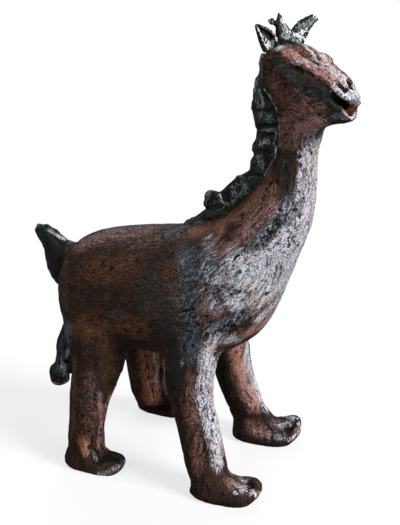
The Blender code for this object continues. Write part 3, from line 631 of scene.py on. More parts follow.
class Noise:
    """Smooth noise on points of space, the same on every run."""

    AXIS_PRIMES = (73856093, 19349663, 83492791)
    SEED_PRIME = 7919
    STIRS = ((13, 1274126177), (15, 668265263))
    LOW_BITS = 0x7FFFFFFF
    LEVELS = 65521
    SEED_STEP = 17
    LAYERS_SUM = 1.4
    LEAST_PIT = 0.45

    @classmethod
    def hashed(cls, cells: np.ndarray, seed: int) -> np.ndarray:
        """Give every whole-number cell its own value.

        Args:
            cells: Whole numbers, three in the last dimension.
            seed: Picks another set of values.

        Returns:
            Values from 0 to 1.
        """
        whole = cells.astype(np.int64)
        mixed = np.full(whole.shape[:-1], seed * cls.SEED_PRIME)
        for axis, prime in enumerate(cls.AXIS_PRIMES):
            mixed = mixed ^ (whole[..., axis] * prime)
        for shift, prime in cls.STIRS:
            mixed = ((mixed ^ (mixed >> shift)) * prime) & cls.LOW_BITS
        return (mixed % cls.LEVELS) / cls.LEVELS

    @classmethod
    def smooth(cls, points: np.ndarray, size: float, seed: int) -> np.ndarray:
        """Give soft noise whose lumps have a given size.

        Args:
            points: Points in metres, one a row.
            size: Distance between lumps in metres.
            seed: Picks another pattern.

        Returns:
            Values from -1 to 1.
        """
        scaled = points / size
        low = np.floor(scaled)
        share = eased(scaled - low)
        total = np.zeros(len(points))
        for corner in product((0, 1), repeat=3):
            step = np.array(corner[::-1])
            weight = np.prod(np.where(step == 1, share, 1.0 - share), axis=1)
            total += weight * cls.hashed(low + step, seed)
        return total * 2.0 - 1.0

    @classmethod
    def layered(cls, points: np.ndarray, size: float, seed: int, layers: int = 3) -> np.ndarray:
        """Add finer and finer noise.

        Args:
            points: Points in metres, one a row.
            size: Distance between the largest lumps in metres.
            seed: Picks another pattern.
            layers: How many halvings.

        Returns:
            Values of about -1 to 1.
        """
        total = np.zeros(len(points))
        for k in range(layers):
            total += cls.smooth(points, size / 2**k, seed + cls.SEED_STEP * k) / 2**k
        return total / cls.LAYERS_SUM

    @classmethod
    def along(
        cls, points: np.ndarray, angle: float, size: float, seed: int, stretch: float = 0.2
    ) -> np.ndarray:
        """Give noise drawn out along a direction of the side view.

        Args:
            points: Points in metres, one a row.
            angle: The direction, in degrees up from the horse's length.
            size: Width of a streak in metres.
            seed: Picks another pattern.
            stretch: A streak's width over its length.

        Returns:
            Values from -1 to 1.
        """
        x, y, z = points.T
        c, s = math.cos(math.radians(angle)), math.sin(math.radians(angle))
        drawn = np.stack([(x * c + z * s) * stretch, y, z * c - x * s], axis=1)
        return cls.smooth(drawn, size, seed)

    @classmethod
    def pits(
        cls, points: np.ndarray, cell: float, seed: int, share: float, radius: float
    ) -> np.ndarray:
        """Scatter round pits, one at most in a cell.

        Args:
            points: Points in metres, one a row.
            cell: Size of a cell in metres.
            seed: Picks another scatter.
            share: Share of the cells that hold a pit.
            radius: Largest radius of a pit, in cells.

        Returns:
            0 outside the pits, up to 1 at their middle.
        """
        scaled = points / cell
        base = np.floor(scaled)
        depth = np.zeros(len(points))
        for step in product((-1, 0, 1), repeat=3):
            home = base + np.array(step)
            spot = home + np.stack([cls.hashed(home, seed + k) for k in range(3)], axis=1)
            here = cls.hashed(home, seed + 3) < share
            grown = (1.0 - cls.LEAST_PIT) * cls.hashed(home, seed + 4)
            size = radius * (cls.LEAST_PIT + grown)
            away = np.linalg.norm(scaled - spot, axis=1) / size
            depth = np.maximum(depth, np.where(here, np.clip(1.0 - away**2, 0.0, 1.0), 0.0))
        return depth


def eased(share: np.ndarray) -> np.ndarray:
    """Bend shares from 0 to 1 so that they start and end gently."""
    return share * share * (3.0 - 2.0 * share)


def soft_step(low: float, high: float, values: np.ndarray) -> np.ndarray:
    """Go smoothly from 0 at low to 1 at high, which may also be the smaller one."""
    return eased(np.clip((values - low) / (high - low), 0.0, 1.0))


def pressed(middle: Vector | Triple, half: Triple) -> Matrix:
    """Give the move from a ball of radius 1 to a lump with a middle and half sizes."""
    return Matrix.Translation(middle) @ Matrix.Diagonal((*half, 1.0))


class Bench:
    """The workbench: picking up, joining and finishing meshes."""

    MERGE_DISTANCE = 1e-6

    @staticmethod
    def clear() -> None:
        """Deselect everything."""
        bpy.ops.object.select_all(action="DESELECT")

    @classmethod
    def hold(cls, piece: Object) -> None:
        """Make one object the only selected and the active one.

        Args:
            piece: The object.
        """
        cls.clear()
        piece.select_set(True)
        bpy.context.view_layer.objects.active = piece

    @classmethod
    def add(cls, operator: Callable[..., object], **settings: object) -> Object:
        """Add a plain shape with one of Blender's operators.

        Args:
            operator: The operator.
            **settings: Its settings.

        Returns:
            The new object.
        """
        cls.clear()
        operator(**settings)
        return bpy.context.object

    @staticmethod
    @contextmanager
    def editing(select: str | None = "SELECT") -> Iterator[None]:
        """Edit the held mesh with all of it selected, or with its selection left as it is.

        Args:
            select: SELECT for all of the mesh, DESELECT for nothing, None for no change.

        Yields:
            Nothing, while the mesh is in edit mode.
        """
        bpy.ops.object.mode_set(mode="EDIT")
        if select:
            bpy.ops.mesh.select_all(action=select)
        yield
        bpy.ops.object.mode_set(mode="OBJECT")

    @classmethod
    def hold_unselected(cls, piece: Object) -> None:
        """Hold a piece and select nothing of its mesh.

        Args:
            piece: The piece.
        """
        cls.hold(piece)
        bpy.ops.object.mode_set(mode="EDIT")
        bpy.ops.mesh.select_all(action="DESELECT")
        bpy.ops.object.mode_set(mode="OBJECT")

    @classmethod
    def extrude(cls, height: float) -> None:
        """Draw the held mesh out upwards."""
        with cls.editing():
            bpy.ops.mesh.extrude_region_move(
                TRANSFORM_OT_translate={"value": (0.0, 0.0, height)}
            )

    @classmethod
    def apply(cls, piece: Object, kind: str, **settings: object) -> None:
        """Put a modifier on a piece and apply it.

        Args:
            piece: The piece.
            kind: The modifier's type.
            **settings: The modifier's own settings.
        """
        cls.hold(piece)
        modifier = piece.modifiers.new(kind.lower(), kind)
        for name, value in settings.items():
            setattr(modifier, name, value)
        bpy.ops.object.modifier_apply(modifier=modifier.name)

    @classmethod
    def soften(cls, piece: Object, rounds: int) -> None:
        """Smooth a piece's vertices between their neighbours."""
        cls.apply(piece, "SMOOTH", factor=0.5, iterations=rounds)

    @classmethod
    def even_clay(cls, piece: Object, voxel: float, rounds: int) -> None:
        """Turn overlapping shapes into one even skin and soften it."""
        cls.apply(piece, "REMESH", mode="VOXEL", voxel_size=voxel)
        cls.soften(piece, rounds)

    @classmethod
    def merged(cls, piece: Object) -> None:
        """Merge the loose triangles of a mesh.

        Args:
            piece: The piece with the mesh.
        """
        cls.hold(piece)
        with cls.editing():
            bpy.ops.mesh.remove_doubles(threshold=cls.MERGE_DISTANCE)
            bpy.ops.mesh.normals_make_consistent(inside=False)

    @classmethod
    def ball(cls, place: Matrix, sides: int = 24) -> Object:
        """Add a ball of clay and press it to shape with a matrix.

        Args:
            place: The move from a ball of radius 1 to its shape and place.
            sides: How many sides the ball has.

        Returns:
            The ball, with its place in its mesh.
        """
        ball = cls.add(
            bpy.ops.mesh.primitive_uv_sphere_add, segments=sides, ring_count=sides // 2, radius=1.0
        )
        ball.data.transform(place)
        return ball

    @classmethod
    def join(cls, pieces: list[Object]) -> Object:
        """Join pieces into the first one.

        Args:
            pieces: The pieces.

        Returns:
            The joined piece.
        """
        cls.hold(pieces[0])
        for piece in pieces[1:]:
            piece.select_set(True)
        bpy.ops.object.join()
        return pieces[0]

    @classmethod
    def cut(cls, piece: Object, tool: Object, operation: str = "DIFFERENCE") -> None:
        """Cut a piece with a tool, or join the tool to it, and put the tool away."""
        cls.apply(piece, "BOOLEAN", object=tool, operation=operation, solver="EXACT")
        bpy.data.objects.remove(tool, do_unlink=True)

    @classmethod
    def coat(cls, piece: Object, material: Material) -> None:
        """Give a piece its material and shade it smooth.

        Args:
            piece: The piece.
            material: Its material.
        """
        piece.data.materials.append(material)
        cls.hold(piece)
        bpy.ops.object.shade_smooth()

    @staticmethod
    def triangles(piece: Object) -> int:
        """Count a piece's triangles."""
        return sum(len(face.vertices) - 2 for face in piece.data.polygons)

    @staticmethod
    def vectors(items: bpy.types.bpy_prop_collection, name: str) -> np.ndarray:
        """Read a vector from each item of a mesh, one a row.

        Args:
            items: Vertices, normals or faces.
            name: Which of their vectors.

        Returns:
            The vectors.
        """
        flat = np.empty(len(items) * 3)
        items.foreach_get(name, flat)
        return flat.reshape(-1, 3)

    @classmethod
    def points(cls, piece: Object) -> np.ndarray:
        """Read a piece's vertices, one a row."""
        return cls.vectors(piece.data.vertices, "co")

    @classmethod
    def normals(cls, piece: Object) -> np.ndarray:
        """Read a piece's vertex normals, one a row."""
        return cls.vectors(piece.data.vertex_normals, "vector")

    @staticmethod
    def set_points(piece: Object, points: np.ndarray) -> None:
        """Write a piece's vertices."""
        piece.data.vertices.foreach_set("co", points.ravel())
        piece.data.update()

    @classmethod
    def swell(cls, piece: Object, height: np.ndarray) -> None:
        """Move each vertex along its normal by a height in metres."""
        cls.set_points(piece, cls.points(piece) + cls.normals(piece) * height[:, None])

    @staticmethod
    def store(piece: Object, amounts: dict[Layer, np.ndarray]) -> None:
        """Keep each layer's values, one for each vertex, as an attribute.

        Args:
            piece: The piece.
            amounts: The values of each layer.
        """
        for layer, values in amounts.items():
            attribute = piece.data.attributes.new(layer.value, "FLOAT", "POINT")
            attribute.data.foreach_set("value", np.clip(values, 0.0, 1.0).astype(np.float32))


class Sight:
    """Finds the places on the clay that the photograph's pixels show."""

    HEAD_BACK = 0.07
    HEAD_LOW = 0.385

    def __init__(self, piece: Object) -> None:
        """Remember the shape of a piece."""
        mesh = piece.data
        self.tree = BVHTree.FromPolygons(
            [v.co.copy() for v in mesh.vertices], [tuple(p.vertices) for p in mesh.polygons]
        )

    def touch(self, px: float, py: float) -> Vector | None:
        """Find the first point that a pixel meets, or None where it misses the clay."""
        return self.tree.ray_cast(Vector(CAMERA.place), CAMERA.ray(px, py).normalized())[0]

    def met(self, spots: Iterable[Pixel]) -> list[Vector]:
        """Find the points that pixels meet, leaving out those that miss the clay."""
        return [point for point in (self.touch(*spot) for spot in spots) if point is not None]

    def trace(self, path: Path, step: float = 3.0) -> list[Vector]:
        """Follow a path of pixels over the clay.

        Args:
            path: The path's corners.
            step: Longest step between two points, in pixels.

        Returns:
            The points met, in order.
        """
        spots = [path[0]]
        for (x0, y0), (x1, y1) in zip(path, path[1:]):
            count = max(1, round(math.dist((x0, y0), (x1, y1)) / step))
            wide, high = x1 - x0, y1 - y0
            spots += [
                (x0 + wide * k / count, y0 + high * k / count) for k in range(1, count + 1)
            ]
        return self.met(spots)

    def other_side(self, points: list[Vector]) -> list[Vector]:
        """Carry a path over to the side that the photograph does not show.

        Args:
            points: The path on the near side.

        Returns:
            The same path mirrored, on the clay there.
        """
        to_head = HEAD.matrix()
        result = []
        for point in points:
            if point.z > self.HEAD_LOW and point.x > self.HEAD_BACK:
                local = to_head.inverted() @ point
                local.y = -local.y
                mirrored = to_head @ local
            else:
                mirrored = Vector((point.x, 2.0 * MIDDLE_Y - point.y, point.z))
            near = self.tree.find_nearest(mirrored)[0]
            result.append(near if near is not None else mirrored)
        return result


def gaps_from(points: np.ndarray, start: np.ndarray, end: np.ndarray) -> np.ndarray:
    """Give the shortest way to each point from a straight line between two corners.

    Args:
        points: The points, one a row.
        start: Where the line starts.
        end: Where it ends.

    Returns:
        One vector a row, from the line to the point.
    """
    run = end - start
    share = np.clip((points - start) @ run / max(run @ run, TINY), 0.0, 1.0)
    return points - start - share[:, None] * run


def reach_of(points: np.ndarray, path: list[Vector], reach: float) -> np.ndarray:
    """Say how near each point is to a path.

    Args:
        points: Points in metres, one a row.
        path: The path's corners.
        reach: Distance in metres at which the effect has ended.

    Returns:
        1 on the path, falling to 0 at its reach.
    """
    near = np.full(len(points), reach)
    corners = [np.array(corner) for corner in path]
    low, high = np.min(corners, axis=0) - reach, np.max(corners, axis=0) + reach
    inside = np.all((points > low) & (points < high), axis=1)
    local = points[inside]
    best = np.linalg.norm(local - corners[0], axis=1)
    for start, end in zip(corners, corners[1:]):
        best = np.minimum(best, np.linalg.norm(gaps_from(local, start, end), axis=1))
    near[inside] = best
    return np.clip(1.0 - near / reach, 0.0, 1.0)


class Brush:
    """Lays modelling marks and colours on a piece."""

    EDGE_WIDTH = 1.5
    STROKE_WIDTH = 1.6
    LEAST_APART = 0.012
    FULL_COLOUR = 0.9
    SOOT_AND_SHADE_RANGE: Span = (0.3, 0.9)
    WOBBLE = 0.35

    def __init__(self, sight: Sight, far_share: float = 0.85) -> None:
        """Take the clay that the marks are placed on.

        Args:
            sight: Finds places on the clay.
            far_share: How strongly a mark is repeated on the side that isn't in view.
        """
        self.sight = sight
        self.far_share = far_share

    def both_sides(self, path: Path) -> list[tuple[list[Vector], float]]:
        """Give a path and, where it lies on the near side, its counterpart on the far side.

        Args:
            path: The path in pixels.

        Returns:
            Pairs of a path on the clay and the share of its strength.
        """
        near = self.sight.trace(path)
        if not near:
            return []
        sides = [(near, 1.0)]
        if self.far_share:
            far = self.sight.other_side(near)
            if min((a - b).length for a, b in zip(near, far)) > self.LEAST_APART:
                sides.append((far, self.far_share))
        return sides

    def colour(self, points: np.ndarray, marks: tuple[Mark, ...]) -> np.ndarray:
        """Say how much of a colour each point carries.

        Args:
            points: Points in metres, one a row.
            marks: The marks that carry the colour.

        Returns:
            Values from 0 to 1.
        """
        total = np.zeros(len(points))
        for mark in marks:
            for path, share in self.both_sides(mark.path):
                near = reach_of(points, path, mark.reach * MM * self.EDGE_WIDTH)
                amount = soft_step(0.0, self.FULL_COLOUR, near) * mark.strength * share
                total = np.maximum(total, amount)
        return total

    def relief(
        self, points: np.ndarray, strokes: tuple[Stroke, ...]
    ) -> tuple[np.ndarray, np.ndarray]:
        """Work out the height and the darkening of grooves and ridges.

        Args:
            points: Points in metres, one a row.
            strokes: The grooves and ridges.

        Returns:
            Height in metres, and darkening from 0 to 1, glaze in grooves and painted shade in deep
            ones.
        """
        height = np.zeros(len(points))
        soot_and_shade = np.zeros(len(points))
        wobble = 1.0 + self.WOBBLE * Noise.smooth(points, size=0.004, seed=90)
        for stroke in strokes:
            for path, share in self.both_sides(stroke.path):
                near = reach_of(points, path, stroke.reach * MM * self.STROKE_WIDTH)
                height += soft_step(0.0, 1.0, near) * wobble * share * stroke.height * MM
                if stroke.soot_and_shade:
                    dark = soft_step(*self.SOOT_AND_SHADE_RANGE, near) * stroke.soot_and_shade * share
                    soot_and_shade = np.maximum(soot_and_shade, dark)
        return height, soot_and_shade


def crest_limits(sight: Sight) -> tuple[np.ndarray, np.ndarray]:
    """Find the line where the mane leaves the neck, from the poll down.

    Args:
        sight: Finds places on the clay.

    Returns:
        Its points' x and z, one a row, and their distance from the middle plane.
    """
    points = np.array(sight.met(CREST_LINE))
    return points[:, (0, 2)], np.abs(points[:, 1] - MIDDLE_Y)


def mane_side(points: np.ndarray, line: np.ndarray) -> np.ndarray:
    """Measure how far each point lies on the mane's side of a line, seen from the side.

    Args:
        points: Points in metres, one a row.
        line: The line's x and z, from the poll down.

    Returns:
        Signed distance in metres, above zero towards the mane.
    """
    flat = points[:, (0, 2)]
    best = np.full(len(points), np.inf)
    signed = np.zeros(len(points))
    for start, end in zip(line, line[1:]):
        run = end - start
        gap = gaps_from(flat, start, end)
        away = np.linalg.norm(gap, axis=1)
        side = np.sign(gap[:, 0] * run[1] - gap[:, 1] * run[0])
        better = away < best
        best = np.where(better, away, best)
        signed = np.where(better, side * away, signed)
    return signed


class ShaderSheet:
    """A material's or group's node tree, with short words for its common nodes."""

    BUMP_DEPTH = 0.0022

    def __init__(self, tree: Tree) -> None:
        """Take the tree that nodes are added to."""
        self.tree = tree

    def node(self, kind: str, **settings: object) -> Node:
        """Add a node with some of its settings.

        Args:
            kind: The node's type.
            **settings: Its settings.

        Returns:
            The node.
        """
        made = self.tree.nodes.new(kind)
        for name, value in settings.items():
            setattr(made, name, value)
        return made

    def feed(self, socket: Socket, value: object) -> None:
        """Link a socket, or set its plain value.

        Args:
            socket: The socket.
            value: Another socket or a plain value.
        """
        if isinstance(value, Socket):
            self.tree.links.new(value, socket)
        else:
            socket.default_value = value

    def maths(self, operation: str, a: object, b: object = 0.0) -> Socket:
        """Combine two values.

        Args:
            operation: What to do.
            a: The first value.
            b: The second value.

        Returns:
            The result.
        """
        made = self.node("ShaderNodeMath", operation=operation)
        self.feed(made.inputs[0], a)
        self.feed(made.inputs[1], b)
        return made.outputs[0]

    def times(self, a: object, b: object) -> Socket:
        """Multiply two values."""
        return self.maths("MULTIPLY", a, b)

    def ramp(
        self, value: object, low: float, high: float, out_low: float = 0.0, out_high: float = 1.0
    ) -> Socket:
        """Spread a value smoothly from low..high to another range.

        Args:
            value: The value.
            low: Where it starts.
            high: Where it ends.
            out_low: What it gives at its start.
            out_high: What it gives at its end.

        Returns:
            The new value.
        """
        made = self.node("ShaderNodeMapRange", interpolation_type="SMOOTHSTEP", clamp=True)
        for socket, given in zip(made.inputs, (value, low, high, out_low, out_high)):
            self.feed(socket, given)
        return made.outputs[0]

    def mix(self, share: object, a: object, b: object) -> Socket:
        """Mix two colours.

        Args:
            share: How much of the second colour shows.
            a: The first colour.
            b: The second colour.

        Returns:
            The mixed colour.
        """
        made = self.node("ShaderNodeMix", data_type="RGBA", blend_type="MIX", clamp_factor=True)
        for index, given in ((0, share), (6, a), (7, b)):
            if isinstance(given, tuple):
                given = (*given, 1.0)
            self.feed(made.inputs[index], given)
        return made.outputs[2]

    def tint(self, colour: object, amount: object) -> Socket:
        """Make a colour lighter or darker by an amount around 1.

        Args:
            colour: The colour.
            amount: The amount.

        Returns:
            The new colour.
        """
        made = self.node("ShaderNodeVectorMath", operation="SCALE")
        self.feed(made.inputs[0], colour)
        self.feed(made.inputs["Scale"], amount)
        return made.outputs[0]

    def place(self) -> Socket:
        """Give the piece's own coordinates."""
        return self.node("ShaderNodeTexCoord").outputs["Object"]

    def seen_by_camera(self) -> Socket:
        """Give 1 where the camera itself looks, and 0 for light that is on its way."""
        return self.node("ShaderNodeLightPath").outputs["Is Camera Ray"]

    def noise(
        self, place: object, scale: object, detail: float = 3.0, roughness: float = 0.6
    ) -> Socket:
        """Add a noise pattern.

        Args:
            place: The coordinates.
            scale: How fine it is.
            detail: How many halvings.
            roughness: How strong each halving is.

        Returns:
            The pattern.
        """
        made = self.node("ShaderNodeTexNoise")
        self.feed(made.inputs["Vector"], place)
        self.feed(made.inputs["Scale"], scale)
        made.inputs["Detail"].default_value = detail
        made.inputs["Roughness"].default_value = roughness
        return made.outputs[0]

    def drawn_out(self, place: object, angle: float, stretch: float) -> Socket:
        """Turn coordinates about the Y axis and squeeze them, so that patterns run along an angle.

        Args:
            place: The coordinates.
            angle: The angle in degrees.
            stretch: A streak's width over its length.

        Returns:
            The new coordinates.
        """
        turned = self.node("ShaderNodeVectorRotate", rotation_type="Y_AXIS")
        self.feed(turned.inputs["Vector"], place)
        turned.inputs["Angle"].default_value = math.radians(angle)
        squeezed = self.node("ShaderNodeVectorMath", operation="MULTIPLY")
        self.feed(squeezed.inputs[0], turned.outputs[0])
        squeezed.inputs[1].default_value = (stretch, 1.0, 1.0)
        return squeezed.outputs[0]

    def wander(self, place: object, scale: float, amount: float) -> Socket:
        """Push coordinates about by a noise, so that edges turn ragged.

        Args:
            place: The coordinates.
            scale: How fine the noise is.
            amount: How far it pushes, in metres.

        Returns:
            The new coordinates.
        """
        noise = self.node("ShaderNodeTexNoise")
        self.feed(noise.inputs["Vector"], place)
        noise.inputs["Scale"].default_value = scale
        offset = self.node("ShaderNodeVectorMath", operation="MULTIPLY_ADD")
        self.feed(offset.inputs[0], noise.outputs["Color"])
        offset.inputs[1].default_value = (amount, amount, amount)
        self.feed(offset.inputs[2], place)
        return offset.outputs[0]

    def cells(self, place: object, scale: object, feature: str) -> Outputs:
        """Add a pattern of cells and give its outputs.

        Args:
            place: The coordinates.
            scale: How fine it is.
            feature: What it measures.

        Returns:
            The node's outputs.
        """
        made = self.node("ShaderNodeTexVoronoi", feature=feature)
        self.feed(made.inputs["Vector"], place)
        self.feed(made.inputs["Scale"], scale)
        return made.outputs

    def bump(self, shader: Node, height: object) -> None:
        """Give a shader a relief.

        Args:
            shader: The shader.
            height: The height, around 0.5.
        """
        made = self.node("ShaderNodeBump")
        made.inputs["Strength"].default_value = 1.0
        made.inputs["Distance"].default_value = self.BUMP_DEPTH
        self.feed(made.inputs["Height"], height)
        self.feed(shader.inputs["Normal"], made.outputs[0])

    def stored(self, layer: Layer) -> Socket:
        """Read a layer stored on the mesh."""
        return self.node("ShaderNodeAttribute", attribute_name=layer.value).outputs["Fac"]

    def group(self, tree: Tree, **inputs: object) -> Socket:
        """Place a node group with its own values and give its first output.

        Args:
            tree: The group.
            **inputs: Its own values by name.

        Returns:
            Its first output.
        """
        made = self.node("ShaderNodeGroup", node_tree=tree)
        for name, value in inputs.items():
            self.feed(made.inputs[name], value)
        return made.outputs[0]


class SharedEffects:
    """Node groups that more than one finish uses.

    A noise is given as scale, detail and roughness, and a bend or a ragged edge as the scale of the
    noise that pushes it and how far that goes in metres.
    """

    GROG_RAGGED = (420.0, 0.0022)
    GROG_SIZE: Span = (0.16, 0.46)
    GROG_EDGE = 0.1
    DRAG_BENT = (16.0, 0.05)
    # Each way is an angle in degrees and a streak's width over its length.
    DRAG_WAYS = ((4.0, 0.12), (86.0, 0.12), (56.0, 0.18))
    DRAG_NOISE = (3.0, 0.65)
    GRAINS = (720.0, 1.5, 0.5)
    GRIT = (300.0, 3.0, 0.7)
    GRAIN_SHARES = (0.48, 0.18, 0.34)
    COVER_START = 0.18
    CRACK_BENT = (120.0, 0.012)
    CRACK_WIDTH: Span = (0.012, 0.045)
    CRACK_ZONE = (48.0, 2.0)
    # The zone's level without cracks, what a full share takes off it, and its soft edge.
    CRACK_LEVEL = (0.72, 0.25, 0.06)

    def __init__(self) -> None:
        """Build each group once."""
        self.grog = self.build_grog()
        self.drag = self.build_drag()
        self.grain = self.build_grain()
        self.cover = self.build_cover()
        self.cracks = self.build_cracks()

    @staticmethod
    def start(
        name: str, inputs: dict[str, float | None], output: str
    ) -> tuple[ShaderSheet, Outputs, Socket]:
        """Start a node group.

        Args:
            name: The group's name.
            inputs: Each input's plain value, or None for coordinates.
            output: The output's name.

        Returns:
            The sheet, the values given to the group and the socket that takes the result.
        """
        tree = bpy.data.node_groups.new(name, "ShaderNodeTree")
        for label, value in inputs.items():
            kind = "NodeSocketVector" if value is None else "NodeSocketFloat"
            socket = tree.interface.new_socket(label, in_out="INPUT", socket_type=kind)
            if value is not None:
                socket.default_value = value
        tree.interface.new_socket(output, in_out="OUTPUT", socket_type="NodeSocketFloat")
        given = tree.nodes.new("NodeGroupInput")
        return ShaderSheet(tree), given.outputs, tree.nodes.new("NodeGroupOutput").inputs[0]

    def build_grog(self) -> Tree:
        """Build the small pits that grog leaves in coarse clay.

        Returns:
            A group that gives a mask of pits, 1 in their middle.
        """
        inputs = {"Place": None, "Scale": 300.0, "Share": 0.5}
        sheet, given, out = self.start("grog pits", inputs, "Pits")
        ragged = sheet.wander(given["Place"], *self.GROG_RAGGED)
        cells = sheet.cells(ragged, given["Scale"], "F1")
        split = sheet.node("ShaderNodeSeparateColor")
        sheet.feed(split.inputs[0], cells["Color"])
        here = sheet.maths("LESS_THAN", split.outputs[0], given["Share"])
        size = sheet.ramp(split.outputs[1], 0.0, 1.0, *self.GROG_SIZE)
        inside = sheet.maths("SUBTRACT", size, cells["Distance"])
        sheet.feed(out, sheet.times(sheet.ramp(inside, 0.0, self.GROG_EDGE), here))
        return sheet.tree

    def build_drag(self) -> Tree:
        """Build the streaks that a rib or fingers drag in damp clay, along three directions.

        Returns:
            A group that gives streaks around a middle of 0.5.
        """
        inputs = {"Place": None, "Scale": 480.0, "Upright": 0.0, "Slant": 0.0}
        sheet, given, out = self.start("drag streaks", inputs, "Streaks")
        bent = sheet.wander(given["Place"], *self.DRAG_BENT)
        level, upright, slant = (
            sheet.noise(sheet.drawn_out(bent, *way), given["Scale"], *self.DRAG_NOISE)
            for way in self.DRAG_WAYS
        )
        for other, share in ((slant, "Slant"), (upright, "Upright")):
            swap = sheet.node("ShaderNodeMix", data_type="FLOAT")
            for index, value in ((0, given[share]), (2, level), (3, other)):
                sheet.feed(swap.inputs[index], value)
            level = swap.outputs[0]
        sheet.feed(out, level)
        return sheet.tree

    def build_grain(self) -> Tree:
        """Build the fine relief of coarse clay: grains, grit and drag streaks together.

        Returns:
            A group that gives a height around a middle of 0.5.
        """
        inputs = {"Place": None, "Streaks": 0.5}
        sheet, given, out = self.start("clay grain", inputs, "Relief")
        grains = sheet.noise(given["Place"], *self.GRAINS)
        grit = sheet.noise(given["Place"], *self.GRIT)
        grains, grit, streaks = (
            sheet.times(height, share)
            for height, share in zip((grains, grit, given["Streaks"]), self.GRAIN_SHARES)
        )
        sheet.feed(out, sheet.maths("ADD", sheet.maths("ADD", grains, grit), streaks))
        return sheet.tree

    def build_cover(self) -> Tree:
        """Build a dry cover that catches on raised grain first.

        Returns:
            A group that gives how much of the clay is covered.
        """
        inputs = {"Amount": 0.0, "Raised": 0.5, "Softness": 0.16}
        sheet, given, out = self.start("dry cover", inputs, "Cover")
        short = sheet.maths("SUBTRACT", 1.0, given["Raised"])
        over = sheet.maths("SUBTRACT", given["Amount"], short)
        low = sheet.times(given["Softness"], -1.0)
        blend = sheet.ramp(over, low, given["Softness"])
        sheet.feed(out, sheet.times(blend, sheet.ramp(given["Amount"], 0.0, self.COVER_START)))
        return sheet.tree

    def build_cracks(self) -> Tree:
        """Build short drying cracks.

        Returns:
            A group that gives a mask of cracks.
        """
        inputs = {"Place": None, "Scale": 70.0, "Share": 0.4}
        sheet, given, out = self.start("short cracks", inputs, "Cracks")
        bent = sheet.wander(given["Place"], *self.CRACK_BENT)
        cells = sheet.cells(bent, given["Scale"], "DISTANCE_TO_EDGE")
        line = sheet.ramp(cells["Distance"], *self.CRACK_WIDTH, 1.0, 0.0)
        zone = sheet.noise(given["Place"], *self.CRACK_ZONE)
        level, by_share, edge = self.CRACK_LEVEL
        low = sheet.maths("SUBTRACT", level, sheet.times(given["Share"], by_share))
        here = sheet.ramp(zone, low, sheet.maths("ADD", low, edge))
        sheet.feed(out, sheet.times(line, here))
        return sheet.tree


def new_material(name: str) -> tuple[Material, ShaderSheet, Node]:
    """Start a material.

    Args:
        name: Its name.

    Returns:
        The material, its sheet and its shader.
    """
    material = bpy.data.materials.new(name)
    material.use_nodes = True
    nodes = material.node_tree.nodes
    return material, ShaderSheet(material.node_tree), nodes["Principled BSDF"]


@dataclass(frozen=True)
class Patterns:
    """The patterns that a finish's colours read, with the sheet and the groups behind them."""

    sheet: ShaderSheet
    effects: SharedEffects
    patchy: Socket
    relief: Socket
    raised: Socket

    def by_relief(self, low: float, high: float) -> Socket:
        """Give a value that runs from low in the dips to high on the grain."""
        return self.sheet.ramp(self.relief, *RELIEF, low, high)

    def cover(self, amount: object, softness: float) -> Socket:
        """Say how far a dry cover hides the clay."""
        return self.sheet.group(
            self.effects.cover, Amount=amount, Raised=self.raised, Softness=softness
        )


